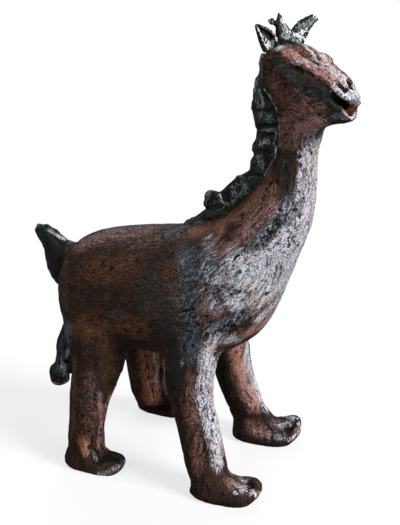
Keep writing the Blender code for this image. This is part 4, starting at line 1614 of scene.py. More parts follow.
@dataclass(frozen=True)
class ClayFinish:
    """Iron-washed coarse stoneware with ash, slate, rust and glaze patches, and painted sheen and
    shade.
    """

    umber: Colour = (0.021, 0.0105, 0.0055)
    brown: Colour = (0.040, 0.0185, 0.0095)
    moss: Colour = (0.012, 0.013, 0.010)
    rust: Colour = (0.175, 0.072, 0.044)
    # Pale ash tones, also used as painted sheen on the lit chest, neck and shins.
    ash: Colour = (0.53, 0.52, 0.59)
    ash_and_sheen_warm: Colour = (0.47, 0.40, 0.41)
    rose: Colour = (0.35, 0.187, 0.168)
    slate: Colour = (0.072, 0.090, 0.112)
    glaze: Colour = (0.008, 0.016, 0.018)
    glaze_brown: Colour = (0.026, 0.018, 0.013)
    # White glaze, also the colour of painted glints and sheen flecks.
    chalk_and_glint: Colour = (0.68, 0.68, 0.76)
    bare: Colour = (0.80, 0.31, 0.08)
    ink: Colour = (0.010, 0.013, 0.020)
    # Near black, for dark marks, pits and painted shade in hollows.
    soot_and_shade: Colour = (0.005, 0.005, 0.005)
    veil_share: float = 0.6
    wide_scale: float = 20.0
    patch_scale: float = 75.0
    streak_scale: float = 480.0
    cut_scale: float = 240.0
    speck_scale: float = 400.0
    speck_share: Span = (0.36, 0.76)
    pit_scale: float = 150.0
    pit_share: float = 0.16
    crack_scale: float = 75.0
    crack_share: float = 0.5
    roughness: Span = (0.62, 0.34)
    shine: float = 0.09

    def build(self, effects: SharedEffects) -> Material:
        """Make the clay's material.

        Args:
            effects: The shared node groups.

        Returns:
            The material.
        """
        material, sheet, shader = new_material("iron washed stoneware")
        place = sheet.place()
        wide = sheet.noise(place, self.wide_scale, 3.0, 0.6)
        patchy = sheet.noise(place, self.patch_scale, 4.0, 0.65)
        upright, slant = sheet.stored(Layer.UPRIGHT), sheet.stored(Layer.SLANT)
        flow = {"Place": place, "Upright": upright, "Slant": slant}
        drawn = sheet.maths("MAXIMUM", upright, slant)
        streaks = sheet.group(effects.drag, Scale=self.streak_scale, **flow)
        lines = sheet.ramp(sheet.group(effects.drag, Scale=self.cut_scale, **flow), 0.55, 0.65)
        cuts = sheet.times(lines, sheet.ramp(drawn, 0.0, 1.0, 0.1, 0.85))
        relief = sheet.group(effects.grain, Place=place, Streaks=streaks)
        pull = sheet.maths("SUBTRACT", streaks, relief)
        pull = sheet.times(pull, sheet.ramp(drawn, 0.0, 1.0, 0.15, 0.6))
        raised = sheet.ramp(sheet.maths("ADD", relief, pull), 0.36, 0.64)
        look = Patterns(sheet, effects, patchy, relief, raised)
        dotted = sheet.ramp(sheet.stored(Layer.ASH), 0.2, 1.0, *self.speck_share)
        specks = sheet.group(effects.grog, Place=place, Scale=self.speck_scale, Share=dotted)
        pits = sheet.group(effects.grog, Place=place, Scale=self.pit_scale, Share=self.pit_share)
        cracks = sheet.group(
            effects.cracks, Place=place, Scale=self.crack_scale, Share=self.crack_share
        )
        holes = sheet.maths("MAXIMUM", pits, cracks)
        colour = self.washes(look, self.ground(look, wide), wide)
        sheet.feed(shader.inputs["Base Color"], self.flaws(look, colour, specks, cuts, holes))
        ash_and_sheen_gloss = sheet.times(sheet.stored(Layer.ASH), 0.35)
        gloss = sheet.maths("MAXIMUM", sheet.stored(Layer.GLAZE), ash_and_sheen_gloss)
        rough = sheet.ramp(gloss, 0.0, 1.0, *self.roughness)
        rough = sheet.maths("ADD", rough, sheet.ramp(relief, *WIDE_RELIEF, 0.12, -0.06))
        sheet.feed(shader.inputs["Roughness"], rough)
        shader.inputs["Specular IOR Level"].default_value = self.shine
        dips = sheet.maths("MAXIMUM", sheet.times(holes, 0.45), sheet.times(specks, 0.16))
        dips = sheet.maths("MAXIMUM", dips, sheet.times(cuts, 0.25))
        sheet.bump(shader, sheet.maths("SUBTRACT", relief, dips))
        return material

    def ground(self, look: Patterns, wide: Socket) -> Socket:
        """Colour the bare iron wash.

        Args:
            look: The clay's patterns.
            wide: Large soft patches.

        Returns:
            The colour.
        """
        sheet = look.sheet
        colour = sheet.mix(sheet.ramp(wide, 0.38, 0.62), self.umber, self.brown)
        colour = sheet.mix(sheet.ramp(look.patchy, 0.46, 0.64, 0.0, 0.75), colour, self.moss)
        warm = sheet.times(look.raised, sheet.ramp(look.patchy, 0.36, 0.56, 0.14, 0.01))
        # Painted shade in the grain's dips and painted light on raised grain.
        return sheet.tint(sheet.mix(warm, colour, self.rust), look.by_relief(0.4, 1.8))

    def washes(self, look: Patterns, colour: Socket, wide: Socket) -> Socket:
        """Lay the stored layers over the ground.

        Args:
            look: The clay's patterns.
            colour: The ground's colour.
            wide: Large soft patches.

        Returns:
            The colour with all washes on it.
        """
        sheet = look.sheet
        # Painted shade in the grain's dips and painted light on raised grains, under every wash.
        shade = look.by_relief(0.62, 1.38)
        ragged = sheet.ramp(look.patchy, 0.34, 0.62, 0.72, 1.15)
        # Ash tone, which also paints the sheen on the lit sides.
        ash_and_sheen_tone = sheet.mix(sheet.ramp(wide, 0.50, 0.64), self.ash, self.ash_and_sheen_warm)
        layers = (
            (Layer.SLATE, self.slate, 0.3),
            (Layer.RUST, self.rust, 0.6),
            (Layer.ROSE, self.rose, 0.8),
            (Layer.ASH, ash_and_sheen_tone, 0.42),
        )
        for layer, tone, softness in layers:
            amount = sheet.times(sheet.stored(layer), ragged)
            veil = sheet.tint(tone, self.veil_share)
            thin = sheet.ramp(amount, 0.0, 0.9, 0.0, 0.85)
            colour = sheet.mix(thin, colour, sheet.tint(veil, shade))
            tone = sheet.mix(sheet.ramp(amount, 0.0, 0.6), veil, tone)
            colour = sheet.mix(look.cover(amount, softness), colour, sheet.tint(tone, shade))
        glaze = sheet.mix(sheet.ramp(look.patchy, 0.44, 0.60), self.glaze, self.glaze_brown)
        glazed = sheet.ramp(sheet.times(sheet.stored(Layer.GLAZE), ragged), 0.1, 0.8)
        colour = sheet.mix(glazed, colour, sheet.tint(glaze, shade))
        colour = sheet.mix(sheet.stored(Layer.BARE), colour, sheet.tint(self.bare, shade))
        # White glaze and painted glints, brighter on raised grain.
        chalk_and_glint = sheet.tint(self.chalk_and_glint, sheet.ramp(look.relief, *WIDE_RELIEF, 0.75, 1.15))
        return sheet.mix(look.cover(sheet.stored(Layer.CHALK), 0.4), colour, chalk_and_glint)

    def flaws(
        self, look: Patterns, colour: Socket, specks: Socket, cuts: Socket, holes: Socket
    ) -> Socket:
        """Darken the small flaws, and the low grain by the stored dark marks and painted shade.

        Args:
            look: The clay's patterns.
            colour: The clay's colour so far.
            specks: Pinholes in the ash.
            cuts: Lines that a rib cut into drawn clay.
            holes: Grog pits and drying cracks.

        Returns:
            The colour with the flaws in it.
        """
        sheet = look.sheet
        calm = sheet.ramp(sheet.stored(Layer.ROSE), 0.3, 1.0, 1.0, 0.45)
        shown = sheet.times(sheet.ramp(look.patchy, 0.34, 0.56, 0.6, 1.0), calm)
        colour = sheet.mix(sheet.times(specks, shown), colour, self.ink)
        colour = sheet.mix(cuts, colour, self.ink)
        colour = sheet.mix(sheet.times(holes, 0.9), colour, self.soot_and_shade)
        # The stored dark marks and painted shade settle into the low grain.
        soot_and_shade_amount = sheet.times(sheet.stored(Layer.SOOT), 1.4)
        low = sheet.maths("SUBTRACT", 1.0, look.raised)
        cover = sheet.group(look.effects.cover, Amount=soot_and_shade_amount, Raised=low, Softness=0.35)
        return sheet.mix(cover, colour, self.soot_and_shade)


@dataclass(frozen=True)
class GlazeFinish:
    """Thick dark glaze that breaks pale on raised edges, with painted highlights and shade."""

    name: str
    deep: Colour = (0.005, 0.008, 0.009)
    green: Colour = (0.018, 0.034, 0.027)
    brown: Colour = (0.048, 0.032, 0.020)
    # Pale breaks, also the colour of painted highlights.
    pale: Colour = (0.25, 0.30, 0.29)
    # White glaze breaks, also the colour of the painted glints.
    chalk_and_glint: Colour = (0.78, 0.78, 0.84)
    # Near black, for dark crevices and painted shade in hollows.
    soot_and_shade: Colour = (0.003, 0.003, 0.004)
    patch_scale: float = 110.0
    streak_scale: float = 420.0
    speck_scale: float = 330.0
    speck_share: float = 0.4
    roughness: float = 0.2
    softness: float = 0.35
    gloss: float = 0.14

    def build(self, effects: SharedEffects) -> Material:
        """Make the glaze's material.

        Args:
            effects: The shared node groups.

        Returns:
            The material.
        """
        material, sheet, shader = new_material(self.name)
        place = sheet.place()
        patchy = sheet.noise(place, self.patch_scale, 4.0, 0.65)
        streaks = sheet.group(
            effects.drag, Place=place, Scale=self.streak_scale, Upright=1.0, Slant=0.0
        )
        relief = sheet.group(effects.grain, Place=place, Streaks=streaks)
        raised = sheet.ramp(relief, *WIDE_RELIEF)
        look = Patterns(sheet, effects, patchy, relief, raised)
        specks = sheet.group(
            effects.grog, Place=place, Scale=self.speck_scale, Share=self.speck_share
        )
        colour = sheet.mix(sheet.ramp(patchy, 0.44, 0.62), self.deep, self.green)
        worn = sheet.times(raised, sheet.ramp(patchy, 0.40, 0.52, 0.8, 0.0))
        colour = sheet.mix(worn, colour, self.brown)
        # Painted shade in the grain's dips and painted light on raised grain.
        colour = sheet.tint(colour, look.by_relief(0.35, 2.1))
        # Pale breaks, painted highlights and glints, lit on raised grain as painted light.
        for layer, tone in ((Layer.PALE, self.pale), (Layer.CHALK, self.chalk_and_glint)):
            tone = sheet.tint(tone, sheet.ramp(relief, *WIDE_RELIEF, 0.5, 1.3))
            colour = sheet.mix(look.cover(sheet.stored(layer), self.softness), colour, tone)
        colour = sheet.mix(sheet.times(specks, 0.85), colour, self.deep)
        colour = sheet.mix(sheet.stored(Layer.SOOT), colour, self.soot_and_shade)
        sheet.feed(shader.inputs["Base Color"], colour)
        rough = sheet.ramp(relief, *WIDE_RELIEF, self.roughness + 0.22, self.roughness)
        sheet.feed(shader.inputs["Roughness"], rough)
        shader.inputs["Specular IOR Level"].default_value = self.gloss
        sheet.bump(shader, sheet.maths("SUBTRACT", relief, sheet.times(specks, 0.2)))
        return material


@dataclass(frozen=True)
class StudioFinish:
    """A plain, even paint for the studio floor, on which shadows stay pale."""

    colour: Colour = (0.20, 0.20, 0.20)
    glow: float = 0.72
    roughness: float = 0.9

    def build(self) -> Material:
        """Make the floor's material.

        Returns:
            The material.
        """
        material, sheet, shader = new_material("studio floor")
        shader.inputs["Base Color"].default_value = (*self.colour, 1.0)
        shader.inputs["Roughness"].default_value = self.roughness
        shader.inputs["Emission Color"].default_value = WHITE
        glow = sheet.times(sheet.seen_by_camera(), self.glow)
        sheet.feed(shader.inputs["Emission Strength"], glow)
        return material


@dataclass(frozen=True)
class SkullTop:
    """Where the plain ears and forelock are cut off, in the straight head's centimetres."""

    middle_x: float = 9.9
    length: float = 6.4
    width: float = 9.0
    cells: int = 24
    stations: tuple[float, ...] = (7.8, 8.6, 10.3, 12.1, 13.5)
    heights: tuple[float, ...] = (45.7, 46.5, 47.25, 47.15, 46.35)
    gap: float = 0.04
    middle_z: float = 43.1
    half_width: float = 3.15
    widest_share: float = 0.995
    fullness: float = 2.3
    cheek_y: float = 2.9
    cheek_z: float = 44.8
    thickness: float = 4.0
    ceiling: float = 53.0

    def cutter(self) -> Object:
        """Shape a block whose underside follows the top of the skull.

        Returns:
            The cutting shape, in the row frame.
        """
        tool = Bench.add(
            bpy.ops.mesh.primitive_grid_add,
            x_subdivisions=self.cells,
            y_subdivisions=self.cells,
            size=1.0,
        )
        points = Bench.points(tool)
        x = self.middle_x + points[:, 0] * self.length
        y = points[:, 1] * self.width
        top = np.interp(x, self.stations, self.heights) + self.gap
        across = np.clip(np.abs(y) / self.half_width, 0.0, self.widest_share)
        arch = (1.0 - across**self.fullness) ** (1.0 / self.fullness)
        z = self.middle_z + (top - self.middle_z) * arch
        z = np.maximum(z, np.where(np.abs(y) > self.cheek_y, self.cheek_z, 0.0))
        Bench.set_points(tool, np.stack([x, y, z], axis=1))
        Bench.hold(tool)
        Bench.extrude(self.thickness)
        points = Bench.points(tool)
        points[len(points) // 2:, 2] = self.ceiling
        Bench.set_points(tool, points)
        tool.data.transform(HEAD.matrix())
        Bench.merged(tool)
        return tool


@dataclass(frozen=True)
class Mouth:
    """The open mouth: lumps and wedge in the straight head's centimetres, depths in metres."""

    fill: tuple[tuple[Triple, Triple], ...] = (
        ((15.7, -1.35, 42.2), (1.5, 0.95, 1.0)),
        ((15.7, 1.2, 42.0), (1.6, 0.9, 0.9)),
        ((16.9, -1.35, 42.4), (0.9, 0.7, 0.8)),
    )
    scoop: tuple[Triple, Triple] = ((17.75, -0.25, 41.75), (0.85, 0.85, 0.62))
    sides: int = 32
    lip: Pixel = (345, 104)
    before_lip: float = 25.0 * MM
    corner_depth: float = 14.0 * MM
    tip_depth: float = 7.5 * MM
    gap_taper: float = 0.75
    notch_depth: float = 60.0 * MM

    def open(self, skin: Object) -> None:
        """Close the mouth's corners, cut the wedge between the lips and hollow the lower lip.

        Args:
            skin: The clay that the mouth is cut into.
        """
        for lump in self.fill:
            Bench.cut(skin, self.ball(*lump), "UNION")
        sight = Sight(skin)
        Bench.cut(skin, self.wedge())
        Bench.cut(skin, self.ball(*self.scoop))
        lip = CAMERA.depth_of(sight.touch(*self.lip))
        near = lip - self.before_lip
        depths = [lip + self.gap_depth(px) for px, _ in LIP_GAP]
        Bench.cut(skin, self.along_view(LIP_GAP, near, depths, self.gap_taper))
        depths = [lip + self.notch_depth] * len(LIP_NOTCH)
        Bench.cut(skin, self.along_view(LIP_NOTCH, near, depths, 1.0))

    def ball(self, middle: Triple, half: Triple) -> Object:
        """Add a ball pressed to shape on the head."""
        return Bench.ball(HEAD.matrix() @ pressed(middle, half), self.sides)

    @staticmethod
    def wedge() -> Object:
        """Shape the wedge that parts the lips.

        Returns:
            The cutting shape, in the row frame.
        """
        wedge = Bench.add(bpy.ops.mesh.primitive_cube_add, size=2.0)
        corners = {
            (-1, -1, -1): (16.7, -3.2, 43.35), (-1, -1, 1): (16.8, -3.2, 43.6),
            (-1, 1, -1): (16.9, 0.4, 42.2), (-1, 1, 1): (17.0, 0.4, 42.5),
            (1, -1, -1): (20.2, -3.2, 41.2), (1, -1, 1): (20.2, -3.2, 42.05),
            (1, 1, -1): (20.2, 0.7, 41.6), (1, 1, 1): (20.2, 0.7, 42.15),
        }
        for vertex in wedge.data.vertices:
            vertex.co = corners[tuple(round(value) for value in vertex.co)]
        wedge.data.transform(HEAD.matrix())
        return wedge

    def gap_depth(self, px: float) -> float:
        """Say how deep the mouth is at a column, deepest at its corner.

        Args:
            px: The column in the photograph.

        Returns:
            The depth in metres.
        """
        start = LIP_GAP[0][0]
        share = (px - start) / (max(x for x, _ in LIP_GAP) - start)
        return self.corner_depth + (self.tip_depth - self.corner_depth) * share

    @staticmethod
    def along_view(outline: Path, near: float, far: list[float], taper: float) -> Object:
        """Shape a cutter whose outline is seen in the photograph.

        Args:
            outline: The outline in pixels.
            near: Where the cutter begins along the camera's axis.
            far: Where it ends, for each corner.
            taper: How much of its outline is left at its end.

        Returns:
            The cutting shape, in the row frame.
        """
        cutter = Bench.add(
            bpy.ops.mesh.primitive_circle_add, vertices=len(outline), radius=1.0, fill_type="NGON"
        )
        Bench.extrude(1.0)
        middle = np.mean(outline, axis=0)
        for index, vertex in enumerate(cutter.data.vertices):
            corner = index % len(outline)
            deep = vertex.co.z > 0.5
            px, py = middle + (np.array(outline[corner]) - middle) * (taper if deep else 1.0)
            vertex.co = CAMERA.at_depth(float(px), float(py), far[corner] if deep else near)
        Bench.merged(cutter)
        return cutter


@dataclass(frozen=True)
class AshAndSheenZone:
    """A part that ash and painted sheen lie on: the axis it faces along, and the heights that bound
    it.
    """

    name: str
    axis: int
    facing: Span
    low: Span
    high: Span
    share: float

    def amount(self, points: np.ndarray, facing: np.ndarray) -> np.ndarray:
        """Say how much ash and painted sheen each point carries.

        Args:
            points: Points in metres, one a row.
            facing: Their normals, with a ragged edge added.

        Returns:
            Values from 0 to 1.
        """
        amount = soft_step(*self.facing, facing[:, self.axis])
        amount *= soft_step(*self.low, points[:, 2]) * soft_step(*self.high, points[:, 2])
        return amount * self.share


@dataclass
class ClaySkin:
    """Trunk, legs, feet, neck, head and tail: one skin of clay, in metres."""

    voxel: float = 1.5 * MM
    top_triangles: int = 196000
    fine_head: tuple[float, float] = (0.085, 0.398)
    thin_factor: float = 0.7
    thin_levels: int = 4
    thin_head: Span = (0.385, 0.40)
    thin_feet: Span = (0.05, 0.03)
    feet_share: float = 0.6
    mane_sink: float = 1.4 * MM
    mane_edge: Span = (0.0, 2.5 * MM)
    mane_paint: Span = (-0.5 * MM, 1.5 * MM)
    mane_half: Span = (0.024, 0.018)
    mane_low: Span = (0.270, 0.276)
    mane_high: Span = (0.478, 0.470)
    rump_z: float = 0.165
    rump_back: Span = (-0.1425, -0.1475)
    tail_half: Span = (0.021, 0.016)
    tail_start: tuple[float, float] = (-0.125, -0.112)
    tail_edge: Span = (0.0, -0.005)
    legs_drawn: Span = (0.175, 0.14)
    neck_drawn: Span = (0.315, 0.345)
    below_head: Span = (0.412, 0.385)
    front: Span = (0.0, 0.045)
    sole_edge: Span = (0.0, 0.004)
    # Ash and painted sheen on clay facing forwards, towards the key light, and on the back, which
    # faces up.
    ash_and_sheen_zones: tuple[AshAndSheenZone, ...] = (
        AshAndSheenZone("chest", 0, (0.52, 0.80), (0.19, 0.24), (0.395, 0.375), 0.78),
        AshAndSheenZone("shin", 0, (0.45, 0.80), (0.03, 0.075), (0.165, 0.14), 1.0),
        AshAndSheenZone("back", 2, (0.6, 0.95), (0.20, 0.23), (0.36, 0.32), 0.10),
    )
    front_shins: Span = (0.0, 0.02)
    shin_shares: tuple[float, float] = (0.05, 0.7)
    ash_and_sheen_ragged: float = 0.12
    pit_darkening: float = 0.75
    ash_and_sheen_hidden: float = 0.6
    slate_share: float = 0.78
    margin: Triple = (0.02 * MM, 0.02 * MM, 0.0)
    piece: Object = field(init=False)

    def build(self) -> None:
        """Model the skin from a copy of the frame's solid."""
        Bench.hold(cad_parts[NODE])
        bpy.ops.object.duplicate()
        self.piece = bpy.context.object
        self.piece.name = "clay_skin"
        for key in list(self.piece.keys()):
            del self.piece[key]
        self.piece.parent = None
        self.piece.data.materials.clear()
        Bench.merged(self.piece)
        Bench.cut(self.piece, SkullTop().cutter())
        Mouth().open(self.piece)
        Bench.join([self.piece] + [lump.press() for lump in TAIL_LUMPS])
        Bench.even_clay(self.piece, self.voxel, 4)
        self.refine_head()
        self.thin_out()

    def refine_head(self) -> None:
        """Give the head a finer mesh than the trunk's."""
        Bench.hold_unselected(self.piece)
        faces = self.piece.data.polygons
        centres = Bench.vectors(faces, "center")
        back, low = self.fine_head
        faces.foreach_set("select", (centres[:, 2] > low) & (centres[:, 0] > back))
        with Bench.editing(None):
            bpy.ops.mesh.select_mode(type="FACE")
            bpy.ops.mesh.subdivide(number_cuts=1)
        Bench.soften(self.piece, 1)

    def thin_out(self) -> None:
        """Thin the mesh to its limit, least on the head and feet."""
        triangles = Bench.triangles(self.piece)
        if triangles <= self.top_triangles:
            return
        height = Bench.points(self.piece)[:, 2]
        feet = self.feet_share * soft_step(*self.thin_feet, height)
        keep = np.maximum(soft_step(*self.thin_head, height), feet)
        group = self.piece.vertex_groups.new(name="thin")
        levels = np.round((1.0 - keep) * self.thin_levels).astype(int)
        for level in range(1, self.thin_levels + 1):
            chosen = np.nonzero(levels == level)[0].tolist()
            group.add(chosen, level / self.thin_levels, "REPLACE")
        Bench.apply(
            self.piece,
            "DECIMATE",
            ratio=self.top_triangles / triangles,
            vertex_group=group.name,
            vertex_group_factor=self.thin_factor,
        )
        self.piece.vertex_groups.clear()

    def dress(
        self, brush: Brush, material: Material, crest: np.ndarray, box: tuple[Triple, Triple]
    ) -> None:
        """Lay on the colours and press in the marks.

        Args:
            brush: Lays marks and colours.
            material: The clay's material.
            crest: The line where the mane leaves the neck.
            box: The lowest and highest corner that the skin stays between.
        """
        points = Bench.points(self.piece)
        height, _ = brush.relief(points, SKIN_STROKES)
        on_mane = soft_step(*self.mane_edge, mane_side(points, crest)) * self.mane_zone(points)
        tail_lumps = Noise.layered(points, size=0.009, seed=31) * 1.3
        tail_lumps += Noise.smooth(points, size=0.004, seed=37) * 0.7
        height += self.hand_marks(points) * (1.0 - on_mane)
        height -= on_mane * self.mane_sink
        height += self.tail_zone(points) * tail_lumps * MM
        height *= soft_step(*self.sole_edge, points[:, 2])
        self.paint(brush, crest)
        Bench.swell(self.piece, height)
        low, high = (np.array(corner) for corner in box)
        inside = np.clip(Bench.points(self.piece), low + self.margin, high - self.margin)
        Bench.set_points(self.piece, inside)
        Bench.coat(self.piece, material)

    def mane_zone(self, points: np.ndarray) -> np.ndarray:
        """Say which points are near enough to the middle plane and high enough to be the mane's.

        Args:
            points: Points in metres, one a row.

        Returns:
            Values from 0 to 1.
        """
        near = soft_step(*self.mane_half, np.abs(points[:, 1] - MIDDLE_Y))
        height = points[:, 2]
        return near * soft_step(*self.mane_low, height) * soft_step(*self.mane_high, height)

    def tail_zone(self, points: np.ndarray) -> np.ndarray:
        """Say which points belong to the tail.

        Args:
            points: Points in metres, one a row.

        Returns:
            Values from 0 to 1.
        """
        x, y, z = points.T
        behind = np.where(z > self.rump_z, soft_step(*self.rump_back, x), 1.0)
        narrow = soft_step(*self.tail_half, np.abs(y - MIDDLE_Y))
        start = np.where(z > self.rump_z, *self.tail_start)
        return behind * narrow * soft_step(*self.tail_edge, x - start)

    def flow(self, points: np.ndarray) -> tuple[np.ndarray, np.ndarray]:
        """Say where the clay was drawn upright and where on the slant.

        Args:
            points: Points in metres, one a row.

        Returns:
            Upright and slanting shares, from 0 to 1.
        """
        x, _, z = points.T
        below = soft_step(*self.below_head, z)
        neck = soft_step(*self.neck_drawn, z) * below
        upright = np.maximum(soft_step(*self.legs_drawn, z), neck)
        return upright, soft_step(*self.front, x) * (1.0 - upright) * below

    def ash_and_sheen_on_lit_sides(self, points: np.ndarray, normals: np.ndarray) -> np.ndarray:
        """Say where ash and painted sheen lie: on clay facing the key light ahead, and a little on the
        back.

        Args:
            points: Points in metres, one a row.
            normals: Their normals.

        Returns:
            Values from 0 to 1.
        """
        ragged = Noise.layered(points, size=0.02, seed=111, layers=2) * self.ash_and_sheen_ragged
        facing = normals + ragged[:, None]
        chest, shin, back = (zone.amount(points, facing) for zone in self.ash_and_sheen_zones)
        shin *= soft_step(*self.front_shins, points[:, 0])
        shin *= np.where(points[:, 1] > MIDDLE_Y, *self.shin_shares)
        return np.maximum.reduce([chest, shin, back])

    def hand_marks(self, points: np.ndarray) -> np.ndarray:
        """Work out the lumps, scrapes and pits that hands and grog leave all over.

        Args:
            points: Points in metres, one a row.

        Returns:
            Height in metres.
        """
        upright, slant = self.flow(points)
        level = 1.0 - np.maximum(upright, slant)
        height = Noise.layered(points, size=0.030, seed=3, layers=2) * 0.8
        height += Noise.layered(points, size=0.011, seed=8, layers=2) * 0.45
        height += Noise.smooth(points, size=0.0030, seed=21) * 0.22
        height += Noise.along(points, angle=3.0, size=0.0045, seed=12) * level * 0.28
        height += Noise.along(points, angle=86.0, size=0.0048, seed=14) * upright * 0.4
        height += Noise.along(points, angle=56.0, size=0.0050, seed=16, stretch=0.3) * slant * 0.6
        slanting = Noise.along(points, angle=60.0, size=0.0042, seed=18, stretch=0.16)
        slanting = soft_step(0.35, 0.7, slanting) * (0.25 + 0.75 * slant)
        standing = Noise.along(points, angle=87.0, size=0.0046, seed=19, stretch=0.12)
        height -= np.maximum(slanting, soft_step(0.4, 0.75, standing) * upright) * 0.75
        height -= self.deep_pits(points) * 0.8
        height -= Noise.pits(points, cell=0.0062, seed=60, share=0.45, radius=0.24) * 0.55
        return height * MM

    @staticmethod
    def deep_pits(points: np.ndarray) -> np.ndarray:
        """Scatter the larger pits that grog leaves, which are also painted dark."""
        return Noise.pits(points, cell=0.010, seed=50, share=0.45, radius=0.20)

    def paint(self, brush: Brush, crest: np.ndarray) -> None:
        """Store each colour on the skin.

        Args:
            brush: Lays marks and colours.
            crest: The line where the mane leaves the neck.
        """
        points = Bench.points(self.piece)
        side = mane_side(points, crest) + Noise.smooth(points, size=0.005, seed=71) * MM
        on_mane = soft_step(*self.mane_paint, side) * self.mane_zone(points)
        near_only = Brush(brush.sight, far_share=0.0)
        amounts = {
            layer: (near_only if layer is Layer.BARE else brush).colour(points, marks)
            for layer, marks in SKIN_MARKS.items()
        }
        _, grooves = brush.relief(points, SKIN_STROKES)
        pits = soft_step(0.3, 0.9, self.deep_pits(points)) * self.pit_darkening
        ash = np.maximum(amounts[Layer.ASH], self.ash_and_sheen_on_lit_sides(points, Bench.normals(self.piece)))
        slate = amounts[Layer.SLATE]
        dark = np.maximum(self.tail_zone(points) * (1.0 - np.maximum(ash, slate)), on_mane)
        upright, slant = self.flow(points)
        amounts |= {
            Layer.ASH: ash * (1.0 - self.ash_and_sheen_hidden * slate),
            Layer.SLATE: slate * self.slate_share,
            Layer.RUST: amounts[Layer.RUST] * (1.0 - dark),
            Layer.ROSE: amounts[Layer.ROSE] * (1.0 - dark),
            Layer.GLAZE: np.maximum(amounts[Layer.GLAZE], dark),
            Layer.SOOT: np.maximum.reduce([amounts[Layer.SOOT], grooves, pits]),
            Layer.UPRIGHT: upright,
            Layer.SLANT: slant,
        }
        Bench.store(self.piece, amounts)


@dataclass
class Mane:
    """The ridge of overlapping locks from the withers to the poll, in metres."""

    along: int = 260
    around: int = 56
    side_lift: float = 0.6 * MM
    edge_gap: float = 0.6 * MM
    core_depth: float = 6.0 * MM
    widest: float = 11.5 * MM
    lift_power: float = 0.9
    side_power: float = 0.75
    edge_thinning: float = 0.62
    thinning_power: float = 1.4
    voxel: float = 0.95 * MM
    upward: Span = (0.45, 0.95)
    lump_tops: Span = (0.4, 0.9)
    wear_and_top_light_share: float = 0.22
    pale_and_highlight_share: float = 0.85
    piece: Object = field(init=False)

    def build(self, sight: Sight) -> None:
        """Model the mane between the crest line and the outer edge line.

        Args:
            sight: Finds places on the clay.
        """
        flat, half = crest_limits(sight)
        roots = self.even(np.column_stack([flat, half]))
        edge = [CAMERA.on_side_plane(px, py, MIDDLE_Y) for px, py in EDGE_LINE]
        edges = self.even(np.array([(p.x, p.z) for p in edge]))
        self.piece = Bench.add(
            bpy.ops.mesh.primitive_cylinder_add,
            vertices=self.around,
            radius=1.0,
            depth=1.0,
            end_fill_type="TRIFAN",
        )
        self.piece.name = "mane"
        self.slice_up()
        Bench.set_points(self.piece, self.bend(Bench.points(self.piece), roots, edges))
        Bench.merged(self.piece)
        Bench.join([self.piece] + [lump.press() for lump in KNOB_LUMPS])
        Bench.even_clay(self.piece, self.voxel, 1)

    def bend(self, points: np.ndarray, roots: np.ndarray, edges: np.ndarray) -> np.ndarray:
        """Bend the upright cylinder into the mane.

        Args:
            points: The cylinder's points, one a row.
            roots: For each row of the mane its root's x, z and half width.
            edges: For each row the outer edge's x and z.

        Returns:
            The points in their places.
        """
        last = self.along - 1
        row = np.clip(np.round((points[:, 2] + 0.5) * last).astype(int), 0, last)
        angle = np.arctan2(points[:, 1], points[:, 0])
        centre = np.hypot(points[:, 0], points[:, 1]) < 0.5
        outward = edges - roots[:, :2]
        reach = np.linalg.norm(outward, axis=1)
        outward = (outward / reach[:, None])[row]
        c, s = np.cos(angle), np.sin(angle)
        lift = np.sign(c) * np.abs(c) ** self.lift_power
        lift = lift * np.where(c < 0, self.core_depth, reach[row] - self.edge_gap)
        width = np.minimum(roots[row, 2] + self.side_lift, self.widest)
        thinned = 1.0 - self.edge_thinning * np.clip(c, 0.0, 1.0) ** self.thinning_power
        side = np.sign(s) * np.abs(s) ** self.side_power * width * thinned
        side[centre], lift[centre] = 0.0, 0.0
        x, z = (roots[row, :2] + outward * lift[:, None]).T
        return np.stack([x, MIDDLE_Y + side, z], axis=1)

    def even(self, line: np.ndarray) -> np.ndarray:
        """Space points evenly along a line.

        Args:
            line: Points, one a row, with x and z first.

        Returns:
            As many points as the mane has rows.
        """
        steps = np.linalg.norm(np.diff(line[:, :2], axis=0), axis=1)
        run = np.concatenate([[0.0], np.cumsum(steps)])
        wanted = np.linspace(0.0, run[-1], self.along)
        return np.stack([np.interp(wanted, run, column) for column in line.T], axis=1)

    def slice_up(self) -> None:
        """Cut the cylinder into as many rows as the mane has."""
        Bench.hold_unselected(self.piece)
        for edge in self.piece.data.edges:
            a, b = (self.piece.data.vertices[v].co for v in edge.vertices)
            edge.select = abs(a.z - b.z) > 0.5
        with Bench.editing(None):
            bpy.ops.mesh.subdivide(number_cuts=self.along - 2)

    def dress(self, material: Material) -> None:
        """Press in the locks, roughen them and lay on pale breaks, painted highlights and painted
        shade.

        Args:
            material: The glaze.
        """
        brush = Brush(Sight(self.piece))
        points = Bench.points(self.piece)
        height, soot_and_shade = brush.relief(points, MANE_STROKES)
        lumps = Noise.layered(points, size=0.009, seed=41)
        lines = Noise.along(points, angle=80.0, size=0.0034, seed=47, stretch=0.4)
        colours = {layer: brush.colour(points, marks) for layer, marks in MANE_MARKS.items()}
        Bench.swell(self.piece, height + (lumps * 0.95 + lines * 0.6) * MM)
        # Upward-facing sides are paled as painted light from above; raised lumps as wear.
        tops = soft_step(*self.upward, Bench.normals(self.piece)[:, 2]) * self.wear_and_top_light_share
        worn = soft_step(*self.lump_tops, lumps) * self.wear_and_top_light_share
        pale = colours[Layer.PALE] * self.pale_and_highlight_share
        colours[Layer.PALE] = np.maximum.reduce([pale, tops, worn])
        colours[Layer.SOOT] = np.maximum(colours[Layer.SOOT], soot_and_shade)
        Bench.store(self.piece, colours)
        Bench.coat(self.piece, material)


